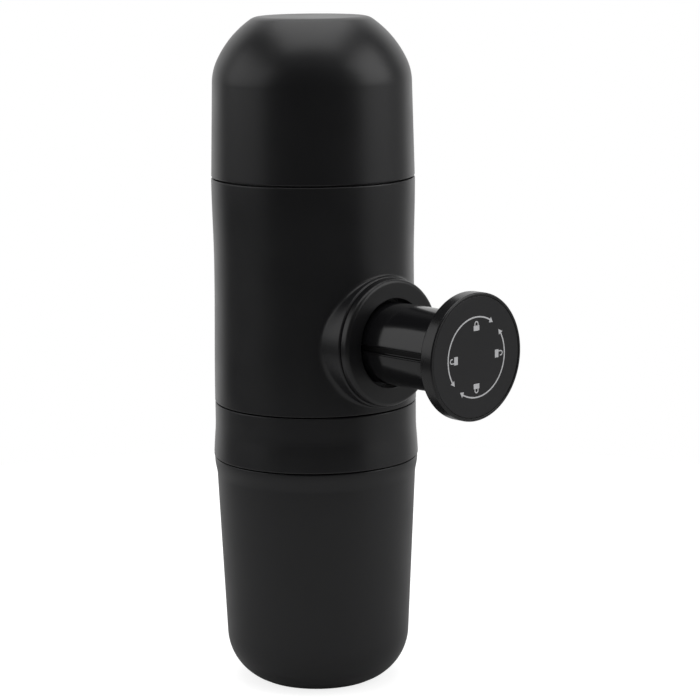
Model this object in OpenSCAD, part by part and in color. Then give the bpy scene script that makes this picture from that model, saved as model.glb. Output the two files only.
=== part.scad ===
// Handheld manual espresso maker: a capsule-shaped stack of water tank, pump body,
// outlet head and cup, with a spring-returned piston whose knob stands out of the side.
// Millimetres. The origin is the centre of the cup's base, +Z is up, the piston runs along X.

/* [Casing stack] */
// Diameter of the pump body at its two seams
casing_d = 60.5; // [59:0.1:64]
// Height of the cup from its base to its rim
cup_h = 68.8; // [62:0.1:80]
// Height of the outlet head's visible collar
collar_h = 16.3; // [14.5:0.1:20]
// Height of the pump body between its two seams
body_h = 67.1; // [64:0.1:80]
// Height of the water tank
tank_h = 46.9; // [44:0.1:52]
// Gap at each seam between two casings
seam_gap = 0.3; // [0.2:0.05:0.6]

/* [Water tank] */
// How far the tank's rim stands back from the pump body's edge
tank_inset = 0.05; // [0:0.05:0.3]
// Radius that the tank loses from its rim up to its shoulder
tank_taper = 0.68; // [0.3:0.02:1]
// Height of the rounded crown, from the shoulder's start to the top
crown_h = 19.5; // [18:0.1:21]
// Radius of the shoulder's lower arc
shoulder_r = 16; // [13:0.5:18]
// Angle that the lower arc turns through
shoulder_turn = 25; // [20:1:30]
// Radius of the flatter arc above it
crown_r = 30; // [26:0.5:36]
// Radius of the edge round the flat top
top_edge_r = 5; // [3.5:0.1:6]
// Wall of the tank
tank_wall = 2.2; // [1.6:0.1:2.6]
// Wall of the tank at its thread
tank_thread_wall = 3; // [2.8:0.1:3.4]

/* [Pump body] */
// Wall of the pump body at its seams
body_wall = 2.65; // [2.4:0.05:2.8]
// How far the pump body draws in at its waist
waist_depth = 0.45; // [0:0.05:0.6]
// Height of the waist above the lower seam
waist_up = 41.3; // [36:0.1:46]

/* [Outlet head and cup casings] */
// How far the collar's upper edge stands back from the pump body's edge
collar_inset = 0.05; // [0:0.05:0.3]
// How far the collar flares out at its lower edge
collar_flare = 0.6; // [0.2:0.05:1]
// Height of the flare
collar_flare_h = 10.5; // [8:0.1:13]
// Wall of the collar at its thread
collar_wall = 3.3; // [2.9:0.1:3.6]
// How far the cup stands back from the pump body's edge, below its bead
cup_inset = 0.25; // [0:0.05:0.5]
// How far the bead round the cup's rim stands out
cup_bead = 0.6; // [0.2:0.05:0.8]
// Height of the bead
cup_bead_h = 3; // [2:0.1:4]
// Radius that the cup loses from its bead down to its bottom corner
cup_taper = 2.4; // [1:0.1:4]
// Height where the bottom corner starts
cup_heel_up = 14; // [13:0.1:15]
// Radius of the bottom corner
cup_corner_r = 16; // [15:0.1:18]
// Wall of the cup
cup_wall = 2; // [1.4:0.1:2]
// Thickness of the cup's floor
cup_floor = 2.4; // [1.8:0.1:3.5]

/* [Knob and boss] */
// Stroke of the piston
stroke = 28; // [24:0.5:30]
// Gap left behind the knob when it is pushed home
knob_gap = 1; // [0.5:0.1:2]
// Diameter of the knob
knob_d = 36.8; // [34:0.1:40]
// Thickness of the knob's disc
knob_t = 4.2; // [3.8:0.1:5]
// Diameter of the sleeve behind the knob
sleeve_d = 24; // [23.6:0.1:24.4]
// Wall of the sleeve
sleeve_wall = 2.4; // [2.1:0.05:2.5]
// Radial clearance of the sleeve in its bush
sleeve_clear = 0.08; // [0.05:0.01:0.1]
// How far the boss's front ring stands out past the pump body's edge
boss_out = 3.25; // [2.8:0.05:4]
// Diameter of the boss
boss_d = 38.6; // [38:0.1:40]
// Height of the boss's lowest point above the lower seam
boss_foot = 1.5; // [1.4:0.1:4]
// Diameter of the ring at the front of the boss
bezel_d = 37.6; // [36:0.1:38]
// Thickness of that ring
bezel_t = 2.4; // [2:0.1:3]
// Radius of the ring's front edge
boss_edge_r = 1.7; // [1:0.1:1.8]
// Radial gap between the sleeve and the ring's bore
boss_bore_gap = 1; // [0.6:0.1:1.4]
// Width of the groove between the boss and its ring
bezel_groove_w = 0.4; // [0.3:0.1:1]
// Depth of that groove below the ring's edge
bezel_groove_t = 0.5; // [0.4:0.1:1.2]

/* [Bayonet lock] */
// Diameter of the two lock pins
pin_d = 1.56; // [1.4:0.02:1.7]
// Distance of the pins behind the boss's front
pin_back = 3; // [2.6:0.1:3.2]
// Width of the slots that the pins run in
slot_w = 1.9; // [1.85:0.05:2.2]
// Depth of the slots
slot_depth = 1.3; // [1.2:0.05:1.4]
// Width of the slot that the pins turn into
turn_slot_w = 3; // [2.2:0.1:3.2]
// Angle that the knob turns through to lock
lock_turn = 90; // [60:5:90]

/* [Pump] */
// Radial gap between the pump cylinder and the sleeve's bore
pump_gap = 1.1; // [0.8:0.05:1.4]
// Wall of the pump cylinder
pump_wall = 2.4; // [2:0.1:2.8]
// Distance from the pump's closed end to the pump body's wall
pump_back_gap = 4.4; // [3:0.1:5]
// Diameter of the plunger's rod
rod_d = 5; // [4:0.1:5.5]
// Radial clearance of the plunger's seal in the bore
seal_clear = 0.05; // [0.03:0.01:0.1]
// Length of the plunger's head
plunger_head = 3.5; // [3.2:0.1:4]
// Wire of the return spring
spring_wire = 1.2; // [1:0.1:1.25]
// Turns of the return spring
spring_turns = 10; // [8:1:10]
// Diameter of the valve balls
ball_d = 3.2; // [3:0.1:3.3]
// Radial gap round a valve ball
ball_gap = 0.6; // [0.4:0.05:0.7]
// Wall of the valve bodies
valve_wall = 1.4; // [1.2:0.1:1.6]

/* [Brewing parts] */
// Width of the shoulder that the coffee basket hangs by
basket_shoulder = 3.7; // [3.4:0.1:4.5]
// Wall of the coffee basket
basket_wall = 0.8; // [0.6:0.1:0.9]
// Depth of the coffee basket below its rim
basket_depth = 20; // [16:0.1:21]
// Holes in the outer ring of the shower screen
shower_holes = 24; // [12:1:24]
// Diameter of the holes in the shower screen and the basket
hole_d = 1.1; // [0.8:0.1:1.2]
// Bore of the nozzle
nozzle_bore_d = 6.4; // [5:0.1:8]
// Distance of the nozzle's tip below the cup's rim
nozzle_drop = 30.8; // [27:0.1:34]

/* [Threads and seals] */
// Pitch of the thread ribs
thread_pitch = 2.4; // [2:0.1:2.6]
// Depth of a thread rib
thread_depth = 0.8; // [0.6:0.05:0.9]
// Radial gap between the two threads' crests
thread_gap = 0.3; // [0.2:0.05:0.4]
// Height of the neck above the pump body
neck_h = 9.2; // [9:0.1:11]
// Wall of the neck
neck_wall = 2.2; // [1.8:0.1:2.6]
// Wall of the brew head's spigot
spigot_wall = 2.4; // [2:0.1:2.8]
// Thickness of the flat seals
seal_t = 1.15; // [1:0.05:1.4]
// Gap between a removable piece and the seal it presses on
seal_gap = 0.05; // [0.05:0.05:0.2]

/* [Hidden] */
$fn = 72;
ARC_STEPS = 10;      // steps along each arc of a casing's outline
OUTLINE_STEPS = 12;  // steps along each smooth stretch of the pump body's outline
THREAD_RIBS = 3;     // ribs on each male thread
SCREWS = 4;          // screws that hold the neck to the brew head's posts
E = 0.01;            // overrun of a cut past the face it opens
FIT = 0.05;          // radial clearance between fixed pieces
TOUCH = 0.1;         // clearance between removable pieces that meet
EDGE = 0.3;          // small flat that breaks a moulded edge

// Levels of the casings
collar_z0 = cup_h + seam_gap;
collar_z1 = collar_z0 + collar_h;
body_z0 = collar_z1 + seam_gap;
body_z1 = body_z0 + body_h;
tank_z0 = body_z1 + seam_gap;
tank_z1 = tank_z0 + tank_h;
axis_z = body_z0 + boss_foot + boss_d / 2;

// Radii of the casings, all from the pump body's
casing_r = casing_d / 2;
body_bore_r = casing_r - body_wall;
tank_rim_r = casing_r - tank_inset;
tank_side_r = tank_rim_r - tank_taper;
collar_top_r = casing_r - collar_inset;
collar_foot_r = collar_top_r + collar_flare;
cup_mouth_r = casing_r - cup_inset;
cup_rim_r = cup_mouth_r + cup_bead;
cup_heel_r = cup_mouth_r - cup_taper;
cup_lip_r = cup_mouth_r - cup_wall;

// Centres of the tank's three arcs, each as [radius, height]
side_c = [tank_side_r - shoulder_r, tank_z1 - crown_h];
crown_c = side_c + (shoulder_r - crown_r) * [cos(shoulder_turn), sin(shoulder_turn)];
crown_turn = asin((tank_z1 - crown_c[1] - top_edge_r) / (crown_r - top_edge_r));
top_c = crown_c + (crown_r - top_edge_r) * [cos(crown_turn), sin(crown_turn)];

// Threads, from the casings inwards: the female bore clears the male crest
rib_w = thread_pitch / 2;
thread_relief = 0.1;
tank_bore_r = tank_rim_r - tank_thread_wall;
tank_crest_r = tank_bore_r - thread_depth + thread_relief;
neck_crest_r = tank_crest_r - thread_gap;
neck_r = neck_crest_r - thread_depth;
neck_bore_r = neck_r - neck_wall;
collar_bore_r = collar_top_r - collar_wall;
collar_crest_r = collar_bore_r - thread_depth;
spigot_crest_r = collar_crest_r - thread_gap;
spigot_r = spigot_crest_r - thread_depth;
spigot_bore_r = spigot_r - spigot_wall;
tank_thread_h = neck_h + 1.2;
tank_rib_up = 2.6;
neck_rib_up = 1.4;
spigot_rib_up = 2;

// Upper deck: the tank's neck with its flange, floor and seal
deck_r = body_bore_r - TOUCH;
neck_flange_z1 = tank_z0 - seal_gap - seal_t;
deck_t = 2.5;
deck_drop = 4.4;
neck_floor_z0 = neck_flange_z1 - deck_drop;
neck_floor_z1 = neck_floor_z0 + deck_t;
neck_z1 = body_z1 + neck_h;
seal_ledge = 0.8;
seal_r = body_bore_r + seal_ledge;
seal_inner_gap = 0.3;
strainer_r = 3.9;
strainer_h = 1.6;
strainer_t = 0.6;

// Lower deck: the brew head with its posts, spigot and shower chamber
brew_flange_z0 = body_z0 + 0.2;
brew_flange_t = 3.3;
brew_deck_t = 3;
brew_deck_z1 = brew_flange_z0 + brew_flange_t;
brew_deck_z0 = brew_deck_z1 - brew_deck_t;
chamber_h = 4.4;
screen_head_t = 1.2;
shower_t = 0.8;
shower_ledge = 1.4;
screw_boss_r = 3.5;
shower_z1 = brew_deck_z0 - chamber_h;
shower_z0 = shower_z1 - shower_t;
gasket_t = 2.8;
gasket_w = 3;
gasket_z0 = shower_z0 - gasket_t;

// Outlet head: web, basket seat, skirt, funnel and nozzle
basket_r = spigot_bore_r - basket_shoulder;
basket_in_r = basket_r - basket_wall;
basket_gap = 0.4;
funnel_r = basket_r + basket_gap;
basket_z1 = gasket_z0 - TOUCH;
basket_rim_t = 1.7;
basket_rim_r = spigot_bore_r - 0.6;
seat_r = spigot_bore_r - 0.3;
seat_z = basket_z1 - basket_rim_t - TOUCH;
basket_z0 = basket_z1 - basket_depth;
seat_h = 2.6;
web_z1 = seat_z - seat_h;
spigot_z0 = web_z1 + seal_t + 2 * seal_gap;
skirt_h = 9;
skirt_gap = 0.4;
skirt_z0 = collar_z0 - skirt_h;
skirt_r = cup_lip_r - skirt_gap;
skirt_wall = 3.6;
funnel_wall = 2;
funnel_gap = 1;
funnel_z = basket_z0 - funnel_gap;
nozzle_r = nozzle_bore_d / 2;
nozzle_wall = 2.8;
nozzle_len = 8;
nozzle_up = cup_h - nozzle_drop;
throat_z = nozzle_up + nozzle_len;
ring_groove_w = 2;
ring_groove_t = 1.8;
cup_ring_wire = 1.8;
cup_ring_z = skirt_z0 + 4.4;
cup_ring_r = cup_lip_r - TOUCH - cup_ring_wire / 2;

// Boss, bush and sleeve along X when the knob is out
boss_reach = casing_r + boss_out;
bezel_x0 = boss_reach - bezel_t;
boss_front_x = bezel_x0 - bezel_groove_w;
sleeve_r = sleeve_d / 2;
sleeve_bore_r = sleeve_r - sleeve_wall;
bush_back = 4.5;
bush_len = 7;
bush_wall = 2.2;
bush_x1 = boss_reach - bush_back;
bush_x0 = bush_x1 - bush_len;
bush_r = sleeve_r + bush_wall;
bezel_wall = 2;
bezel_spigot_r = bush_r + bezel_wall;
bezel_bore_r = sleeve_r + boss_bore_gap;
pin_x = boss_reach - pin_back;
pin_tip_gap = 0.25;
pin_r0 = sleeve_r - slot_depth + pin_tip_gap;
pin_r1 = bezel_spigot_r - TOUCH;
lock_x = pin_x + stroke;
boss_flare_r = 12;
boss_flare_x = casing_r - 3.25;
boss_root_x = casing_r - 10.25;

// Pump along X, set out from its closed end: the plunger stops just short of the port
pump_r = sleeve_bore_r - pump_gap;
pump_bore_r = pump_r - pump_wall;
pump_end_t = 1.6;
port_len = 2.3;
port_r = 4.5;
port_hole_r = 1;
head_gap = 0.3;
cap_gap = 0.5;
pump_x0 = pump_back_gap - body_bore_r;
port_x0 = pump_x0 + pump_end_t;
pump_bore_x0 = port_x0 + port_len;
head_x0 = pump_bore_x0 + head_gap + stroke;
pump_x1 = head_x0 + plunger_head + cap_gap;
pump_cap_t = 3;
valve_x = port_x0 + 2.6;
port_x = port_x0 + 1.4;
spring_d = 2 * (pump_r - 1.3);
plunger_seal_wire = 2;
seal_groove_w = plunger_seal_wire + 0.2;

// Valves, one above and one below the port chamber
ball_r = ball_d / 2;
valve_bore_r = ball_r + ball_gap;
valve_r = valve_bore_r + valve_wall;
valve_hole_r = 1.1;
seat_len = 1.4;
inlet_len = 6.2;
outlet_len = 3.5;
valve_top = 1.4;
valve_floor = 1.4;
inlet_arm = pump_r + 2;
outlet_arm = pump_r + 1;
inlet_z0 = axis_z + inlet_arm;
inlet_seat_z = inlet_z0 + inlet_len;
inlet_z1 = inlet_seat_z + seat_len + valve_top;
outlet_z1 = axis_z - outlet_arm;
outlet_seat_z = outlet_z1 - outlet_len;
seat_angle = atan((valve_bore_r - valve_hole_r) / seat_len);
seat_clear = 0.15;
ball_drop = (valve_bore_r / tan(seat_angle)) - ball_r / sin(seat_angle) - seat_clear;
tube_r = 2.6;
tube_bore_r = 1.3;
valve_spring_wire = 0.4;
valve_spring_turns = 4;

// Housing that the sleeve slides into, and the posts beside it
housing_gap = 0.9;
housing_wall = 2.3;
housing_end_t = 2.6;
sleeve_end_gap = 1;
housing_bore_r = sleeve_r + housing_gap;
housing_r = housing_bore_r + housing_wall;
housing_x1 = bush_x0;
housing_end_x0 = valve_x + valve_r + 0.2;
housing_end_x1 = housing_end_x0 + housing_end_t;
sleeve_x0 = housing_end_x1 + sleeve_end_gap + stroke;
post_r = 3;
post_x = 7;
post_y = housing_r + post_r + 0.6;
screw_r = 1.2;
screw_head_r = 2.8;
screw_head_t = 1.6;
screw_bite = 9;
screw_slot_w = 0.8;
saddle_x = 2;
saddle_l = 20;
saddle_w = 24;
saddle_h = 8.6;

// Knob, and the piston's parts that it turns on
knob_back = boss_reach + knob_gap + stroke;
knob_reach = knob_back + knob_t;
hub_t = 2.5;
hub_x0 = knob_back - hub_t;
hub_r = bezel_bore_r - 2 * TOUCH;
sleeve_x1 = knob_back - 1;
face_t = 0.6;
face_r = knob_d / 2 - 1;
web_back = 0.8;
web_x0 = knob_back - web_back;
web_x1 = knob_reach - 2.6;
screw_head_x = web_x1 + TOUCH;
washer_t = 0.7;
rod_x1 = web_x0 - washer_t - TOUCH;
spring_seat_t = 1.8;
seat_gap = 0.8;
spring_seat_x0 = rod_x1 - spring_seat_t;
knob_screw_r = 1.45;
knob_screw_head_r = 3.4;
knob_screw_head_t = 1.5;
washer_r = 4.2;
recess_gap = 1;

// ---- Helpers ----

// Points of an arc about centre c, from angle a0 to a1, as [radius, height]
function arc(c, r, a0, a1, steps = ARC_STEPS) =
    [for (i = [0:steps]) let (a = a0 + (a1 - a0) * i / steps) c + r * [cos(a), sin(a)]];

// Easing from 0 to 1 with level ends, for the body's gentle waist
function ease(t) = (1 - cos(180 * t)) / 2;

// Turns a solid of revolution about Z into one about the piston's axis
module along_x() {
    translate([0, 0, axis_z]) rotate([0, 90, 0]) children();
}

// Round bar from level a to level b
module bar(r, a, b) {
    translate([0, 0, a]) cylinder(r = r, h = b - a);
}

// Tube from level a to level b
module tube(r_out, r_in, a, b) {
    difference() {
        bar(r_out, a, b);
        bar(r_in, a - E, b + E);
    }
}

// Ring of round section
module o_ring(r, wire) {
    rotate_extrude() translate([r, 0]) circle(d = wire, $fn = 24);
}

// Outline of thread ribs: root and crest radii, and the height of the first rib's centre
module rib_outline(root, crest, z, count) {
    dir = sign(crest - root);
    for (i = [0:count - 1]) {
        zc = z + i * thread_pitch;
        polygon([[root - 0.2 * dir, zc - rib_w / 2], [crest, zc - rib_w / 5],
            [crest, zc + rib_w / 5], [root - 0.2 * dir, zc + rib_w / 2]]);
    }
}

// Helical wire about Z from height 0 to h, as one tube with flat ends
function helix(r, h, turns, per_turn) =
    [for (i = [0:turns * per_turn]) let (a = 360 * i / per_turn)
        [r * cos(a), r * sin(a), h * i / (turns * per_turn)]];
module wire_coil(r, h, wire, turns, per_turn = 12, sides = 6) {
    path = helix(r, h, turns, per_turn);
    pitch = h / turns;
    lean = atan(pitch / (2 * PI * r));
    points = [for (i = [0:len(path) - 1]) let (a = 360 * i / per_turn)
        for (j = [0:sides - 1]) let (s = 360 * j / sides)
            path[i] + wire / 2 * (cos(s) * [cos(a), sin(a), 0]
                + sin(s) * [sin(a) * sin(lean), -cos(a) * sin(lean), cos(lean)])];
    last = (len(path) - 1) * sides;
    faces = concat([[for (j = [0:sides - 1]) j]],
        [for (i = [0:len(path) - 2]) for (j = [0:sides - 1]) let (k = (j + 1) % sides)
            each [[i * sides + j, (i + 1) * sides + j, i * sides + k],
                [i * sides + k, (i + 1) * sides + j, (i + 1) * sides + k]]],
        [[for (j = [sides - 1:-1:0]) last + j]]);
    polyhedron(points, faces, convexity = 10);
}

// ---- Water tank ----

// Closed outline of the tank: off moves it inwards for the hollow
module tank_outline(off) {
    polygon(concat(
        [[0, tank_z0 - (off > 0 ? E : 0)]],
        [[tank_rim_r - off, tank_z0 - (off > 0 ? E : 0)]],
        arc(side_c, shoulder_r - off, 0, shoulder_turn),
        arc(crown_c, crown_r - off, shoulder_turn, crown_turn),
        arc(top_c, top_edge_r - off, crown_turn, 90),
        [[0, tank_z1 - off]]));
}

module water_tank() {
    color("#2b2b2d") union() {
        difference() {
            rotate_extrude() tank_outline(0);
            rotate_extrude() intersection() {
                tank_outline(tank_wall);
                translate([0, tank_z0 + tank_thread_h]) square([casing_d, tank_h]);
            }
            bar(tank_bore_r, tank_z0 - E, tank_z0 + tank_thread_h + E);
        }
        rotate_extrude() rib_outline(tank_bore_r, tank_crest_r, tank_z0 + tank_rib_up, THREAD_RIBS - 1);
    }
}

// Flat ring that the tank's rim presses on
module tank_seal() {
    color("#1a1a1b") tube(seal_r, neck_r + seal_inner_gap, neck_flange_z1, tank_z0 - seal_gap);
}

// ---- Pump body ----

module body_outline() {
    waist_r = casing_r - waist_depth;
    polygon(concat([[0, body_z0]],
        [for (i = [0:OUTLINE_STEPS]) let (t = i / OUTLINE_STEPS)
            [casing_r + (waist_r - casing_r) * ease(t), body_z0 + waist_up * t]],
        [for (i = [1:OUTLINE_STEPS]) let (t = i / OUTLINE_STEPS)
            [waist_r + (casing_r - waist_r) * ease(t), body_z0 + waist_up + (body_h - waist_up) * t]],
        [[0, body_z1]]));
}

// Boss about the piston's axis, flared where it runs into the shell
module boss_outline() {
    flare_c = [boss_d / 2 + boss_flare_r, boss_flare_x];
    flare_turn = asin((boss_flare_x - boss_root_x) / boss_flare_r);
    polygon(concat([[0, boss_root_x]],
        arc(flare_c, boss_flare_r, 180 + flare_turn, 180),
        [[boss_d / 2, boss_front_x - EDGE], [boss_d / 2 - EDGE, boss_front_x],
            [0, boss_front_x]]));
}

module body_shell() {
    color("#242426") difference() {
        union() {
            rotate_extrude() body_outline();
            along_x() rotate_extrude() boss_outline();
        }
        bar(body_bore_r, body_z0 - E, body_z1 + E);
        bar(boss_reach + 1, body_z0 - boss_d, body_z0);
        bar(seal_r + TOUCH, neck_flange_z1 - TOUCH, body_z1 + E);
        along_x() bar(bezel_spigot_r + FIT, boss_root_x - 1, boss_reach);
    }
}

// Threaded neck that the tank screws on to, with the deck that drains into the pump
module tank_neck() {
    color("#1f1f21") difference() {
        union() {
            bar(deck_r, neck_floor_z0, neck_flange_z1);
            bar(neck_r, neck_flange_z1 - E, neck_z1);
            rotate_extrude() rib_outline(neck_r, neck_crest_r, tank_z0 + neck_rib_up, THREAD_RIBS);
        }
        bar(neck_bore_r, neck_floor_z1, neck_z1 + E);
        translate([valve_x, 0, 0]) bar(tube_bore_r, neck_floor_z0 - E, neck_floor_z1 + E);
        for (sx = [-1, 1], sy = [-1, 1])
            translate([sx * post_x, sy * post_y, 0])
                bar(screw_r + 0.2, neck_floor_z0 - E, neck_floor_z1 + E);
    }
}

// Pan-head screw pointing down, its head standing on level z
module pan_screw(z, bite) {
    bar(screw_head_r, z, z + screw_head_t);
    bar(screw_r, z - bite, z + E);
}

// Cross cut into a screw's head, about level z
module screw_cross(z) {
    arm = 1.3 * screw_head_r;
    translate([0, 0, z]) {
        cube([arm, screw_slot_w, screw_slot_w + 2 * E], center = true);
        cube([screw_slot_w, arm, screw_slot_w + 2 * E], center = true);
    }
}

module neck_screws() {
    color("#b8b8bb") for (sx = [-1, 1], sy = [-1, 1])
        translate([sx * post_x, sy * post_y, 0]) difference() {
            pan_screw(neck_floor_z1, deck_t + screw_bite);
            screw_cross(neck_floor_z1 + screw_head_t - screw_slot_w / 2);
        }
}

// Slotted cap over the deck's drain
module inlet_strainer() {
    top_z = neck_floor_z1 + strainer_h;
    hole_r = hole_d / 2;
    color("#c4c4c8") translate([valve_x, 0, 0]) difference() {
        bar(strainer_r, neck_floor_z1, top_z);
        bar(strainer_r - strainer_t, neck_floor_z1 - E, top_z - strainer_t);
        bar(hole_r, neck_floor_z1, top_z + E);
        for (i = [0:5]) rotate(60 * i)
            translate([strainer_r / 2, 0, 0]) bar(hole_r, neck_floor_z1, top_z + E);
    }
}

module inlet_tube() {
    color("#d8d8d4") translate([valve_x, 0, 0]) tube(tube_r, tube_bore_r, inlet_z1, neck_floor_z0);
}

// ---- Valves ----

// Bore of a valve whose ball is pushed up against a cone at level seat_z
module valve_bore(z0, seat_z, z1) {
    bar(valve_hole_r, z0 - E, z1 + E);
    bar(valve_bore_r, z0, seat_z);
    translate([0, 0, seat_z - E])
        cylinder(r1 = valve_bore_r, r2 = valve_hole_r, h = seat_len + E);
}

module inlet_valve() {
    color("#e6e6e2") translate([valve_x, 0, 0]) difference() {
        bar(valve_r, inlet_z0, inlet_z1);
        valve_bore(inlet_z0 - E, inlet_seat_z, inlet_z1);
    }
}

module outlet_valve() {
    color("#e6e6e2") translate([valve_x, 0, 0]) difference() {
        bar(valve_r, brew_deck_z0, outlet_z1);
        valve_bore(brew_deck_z0 + valve_floor, outlet_seat_z, outlet_z1);
        bar(valve_hole_r, brew_deck_z0 - E, outlet_z1);
        bar(valve_bore_r, outlet_z1 - valve_floor / 2, outlet_z1 + E);
    }
}

module valve_ball(seat_z) {
    translate([valve_x, 0, seat_z + ball_drop]) sphere(r = ball_r);
}

module inlet_ball() {
    color("#c8c8cc") valve_ball(inlet_seat_z);
}

module outlet_ball() {
    color("#c8c8cc") valve_ball(outlet_seat_z);
}

// Light coil under a ball, standing on level z0
module valve_spring(z0, seat_z) {
    free_h = seat_z + ball_drop - ball_r - z0 - valve_spring_wire - 0.1;
    translate([valve_x, 0, z0 + valve_spring_wire / 2 + 0.05])
        wire_coil(valve_bore_r - 0.7, free_h, valve_spring_wire, valve_spring_turns, 8);
}

module inlet_spring() {
    color("#b0b0b4") valve_spring(inlet_z0, inlet_seat_z);
}

module outlet_spring() {
    color("#b0b0b4") valve_spring(brew_deck_z0 + valve_floor, outlet_seat_z);
}

// ---- Pump ----

module pump_cylinder() {
    color("#34343a") difference() {
        union() {
            along_x() bar(pump_r, pump_x0, pump_x1);
            translate([valve_x, 0, 0]) bar(valve_r, outlet_z1, inlet_z0);
        }
        along_x() bar(pump_bore_r, pump_bore_x0, pump_x1 + E);
        along_x() bar(port_r, port_x0, pump_bore_x0 + E);
        translate([port_x, 0, 0]) bar(port_hole_r, outlet_z1 - E, inlet_z0 + E);
    }
}

// Cap that guides the rod and takes the return spring's inner end
module cylinder_cap() {
    color("#d9d9d4") along_x() tube(pump_r, rod_d / 2 + FIT, pump_x1, pump_x1 + pump_cap_t);
}

// Tube that the sleeve runs inside; its end wall carries the pump cylinder
module pump_housing() {
    color("#3a3a40") along_x() difference() {
        bar(housing_r, housing_end_x0, housing_x1);
        bar(housing_bore_r, housing_end_x1, housing_x1 + E);
        bar(pump_r + FIT, housing_end_x0 - E, housing_end_x1 + E);
    }
}

// Glossy front ring of the boss, with the spigot that goes into it
module boss_bezel() {
    edge_c = [bezel_d / 2 - boss_edge_r, boss_reach - boss_edge_r];
    neck_r = bezel_d / 2 - bezel_groove_t;
    color("#161617") difference() {
        along_x() rotate_extrude() polygon(concat(
            [[bush_r + FIT, bush_x0], [bezel_spigot_r, bush_x0], [bezel_spigot_r, boss_front_x],
                [neck_r, boss_front_x], [neck_r, bezel_x0], [bezel_d / 2, bezel_x0]],
            arc(edge_c, boss_edge_r, 0, 90),
            [[bezel_bore_r, boss_reach], [bezel_bore_r, bush_x1], [bush_r + FIT, bush_x1]]));
        translate([pin_x, 0, axis_z]) for (s = [-1, 1]) rotate([-90 * s, 0, 0])
            bar(pin_d / 2 + FIT / 2, sleeve_r, pin_r1 + TOUCH);
    }
}

// Plain bush that guides the sleeve
module guide_bush() {
    color("#e0e0da") along_x() tube(bush_r, sleeve_r + sleeve_clear, bush_x0, bush_x1);
}

// Two pins that the sleeve's slots run on, one each side
module lock_pins() {
    color("#b9b9bd") translate([pin_x, 0, axis_z]) for (s = [-1, 1])
        rotate([-90 * s, 0, 0]) bar(pin_d / 2, pin_r0, pin_r1);
}

// ---- Piston ----

module plunger() {
    head_r = pump_bore_r - 2 * TOUCH;
    color("#4a4a50") along_x() difference() {
        union() {
            bar(head_r, head_x0, head_x0 + plunger_head);
            bar(rod_d / 2, head_x0, rod_x1);
        }
        translate([0, 0, head_x0 + (plunger_head - seal_groove_w) / 2])
            tube(head_r + 1, head_r - plunger_seal_wire + TOUCH, 0, seal_groove_w);
        bar(knob_screw_r + FIT, rod_x1 - screw_bite, rod_x1 + E);
    }
}

module plunger_seal() {
    color("#1b1b1b") along_x() translate([0, 0, head_x0 + plunger_head / 2])
        o_ring(pump_bore_r - seal_clear - plunger_seal_wire / 2, plunger_seal_wire);
}

module return_spring() {
    x0 = pump_x1 + pump_cap_t;
    slack = 0.1;
    free_l = spring_seat_x0 - x0 - spring_wire - 2 * slack;
    pitch = free_l / spring_turns;
    echo(least_gap_between_turns = pitch * cos(atan(pitch / (PI * spring_d))) - spring_wire);
    color("#9c9ca2") along_x() translate([0, 0, x0 + spring_wire / 2 + slack])
        wire_coil(spring_d / 2, free_l, spring_wire, spring_turns);
}

// Collar on the rod that takes the return spring's outer end
module spring_seat() {
    color("#d9d9d4") along_x()
        tube(sleeve_bore_r - seat_gap, rod_d / 2 + FIT, spring_seat_x0, rod_x1);
}

module thrust_washer() {
    color("#c8c8cc") along_x() tube(washer_r, knob_screw_r + TOUCH, rod_x1, rod_x1 + washer_t);
}

// Screw through the knob's web into the rod, which the knob turns on
module knob_screw() {
    head_x1 = screw_head_x + knob_screw_head_t;
    key_r = 1.4;
    color("#b8b8bb") along_x() difference() {
        union() {
            bar(knob_screw_head_r, screw_head_x, head_x1);
            bar(knob_screw_r, rod_x1 - screw_bite + TOUCH, screw_head_x + E);
        }
        translate([0, 0, head_x1 - screw_slot_w]) cylinder(r = key_r, h = 1, $fn = 6);
    }
}

// ---- Knob ----

// One leg of the lock track: from the pin's side, round towards the closed mark
module turn_slot(from) {
    over = 6;
    rotate(from) rotate_extrude(angle = lock_turn + over)
        translate([sleeve_r - slot_depth, lock_x - turn_slot_w / 2])
            square([slot_depth + 1, turn_slot_w]);
}

module knob_sleeve() {
    color("#121213") along_x() difference() {
        bar(sleeve_r, sleeve_x0, sleeve_x1);
        bar(sleeve_bore_r, sleeve_x0 - E, sleeve_x1 + E);
        // ring track that the pins stand in when the knob is out
        tube(sleeve_r + 1, sleeve_r - slot_depth, pin_x - slot_w / 2, pin_x + slot_w / 2);
        // two straight tracks that the pins follow along the stroke
        for (s = [-1, 1])
            translate([-slot_w / 2, s > 0 ? sleeve_r - slot_depth : -sleeve_r - 1, pin_x])
                cube([slot_w, slot_depth + 1, stroke + turn_slot_w / 2]);
        // and the legs that lock it when it is home
        for (from = [90, 270]) turn_slot(from);
    }
}

module knob_cap() {
    edge = 0.5;
    r = knob_d / 2;
    color("#161617") along_x() difference() {
        rotate_extrude() polygon(concat(
            [[0, hub_x0], [hub_r, hub_x0], [hub_r, knob_back - 2 * EDGE],
                [hub_r + 3 * EDGE, knob_back]],
            [[r - edge, knob_back], [r, knob_back + edge], [r, knob_reach - edge],
                [r - edge, knob_reach], [0, knob_reach]]));
        bar(sleeve_r + FIT, hub_x0 - E, sleeve_x1 + FIT);
        bar(sleeve_bore_r, sleeve_x1 - 1, web_x0);
        bar(knob_screw_r + recess_gap / 4, hub_x0, knob_reach);
        bar(knob_screw_head_r + recess_gap, web_x1, knob_reach);
        bar(face_r + FIT, knob_reach - face_t - FIT, knob_reach + 1);
    }
}

// Inlaid disc on the knob that carries the printed turning marks
module knob_face() {
    color("#2a2a2c") along_x() bar(face_r, knob_reach - face_t, knob_reach);
}

// ---- Brew head, screwed under the pump ----

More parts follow.
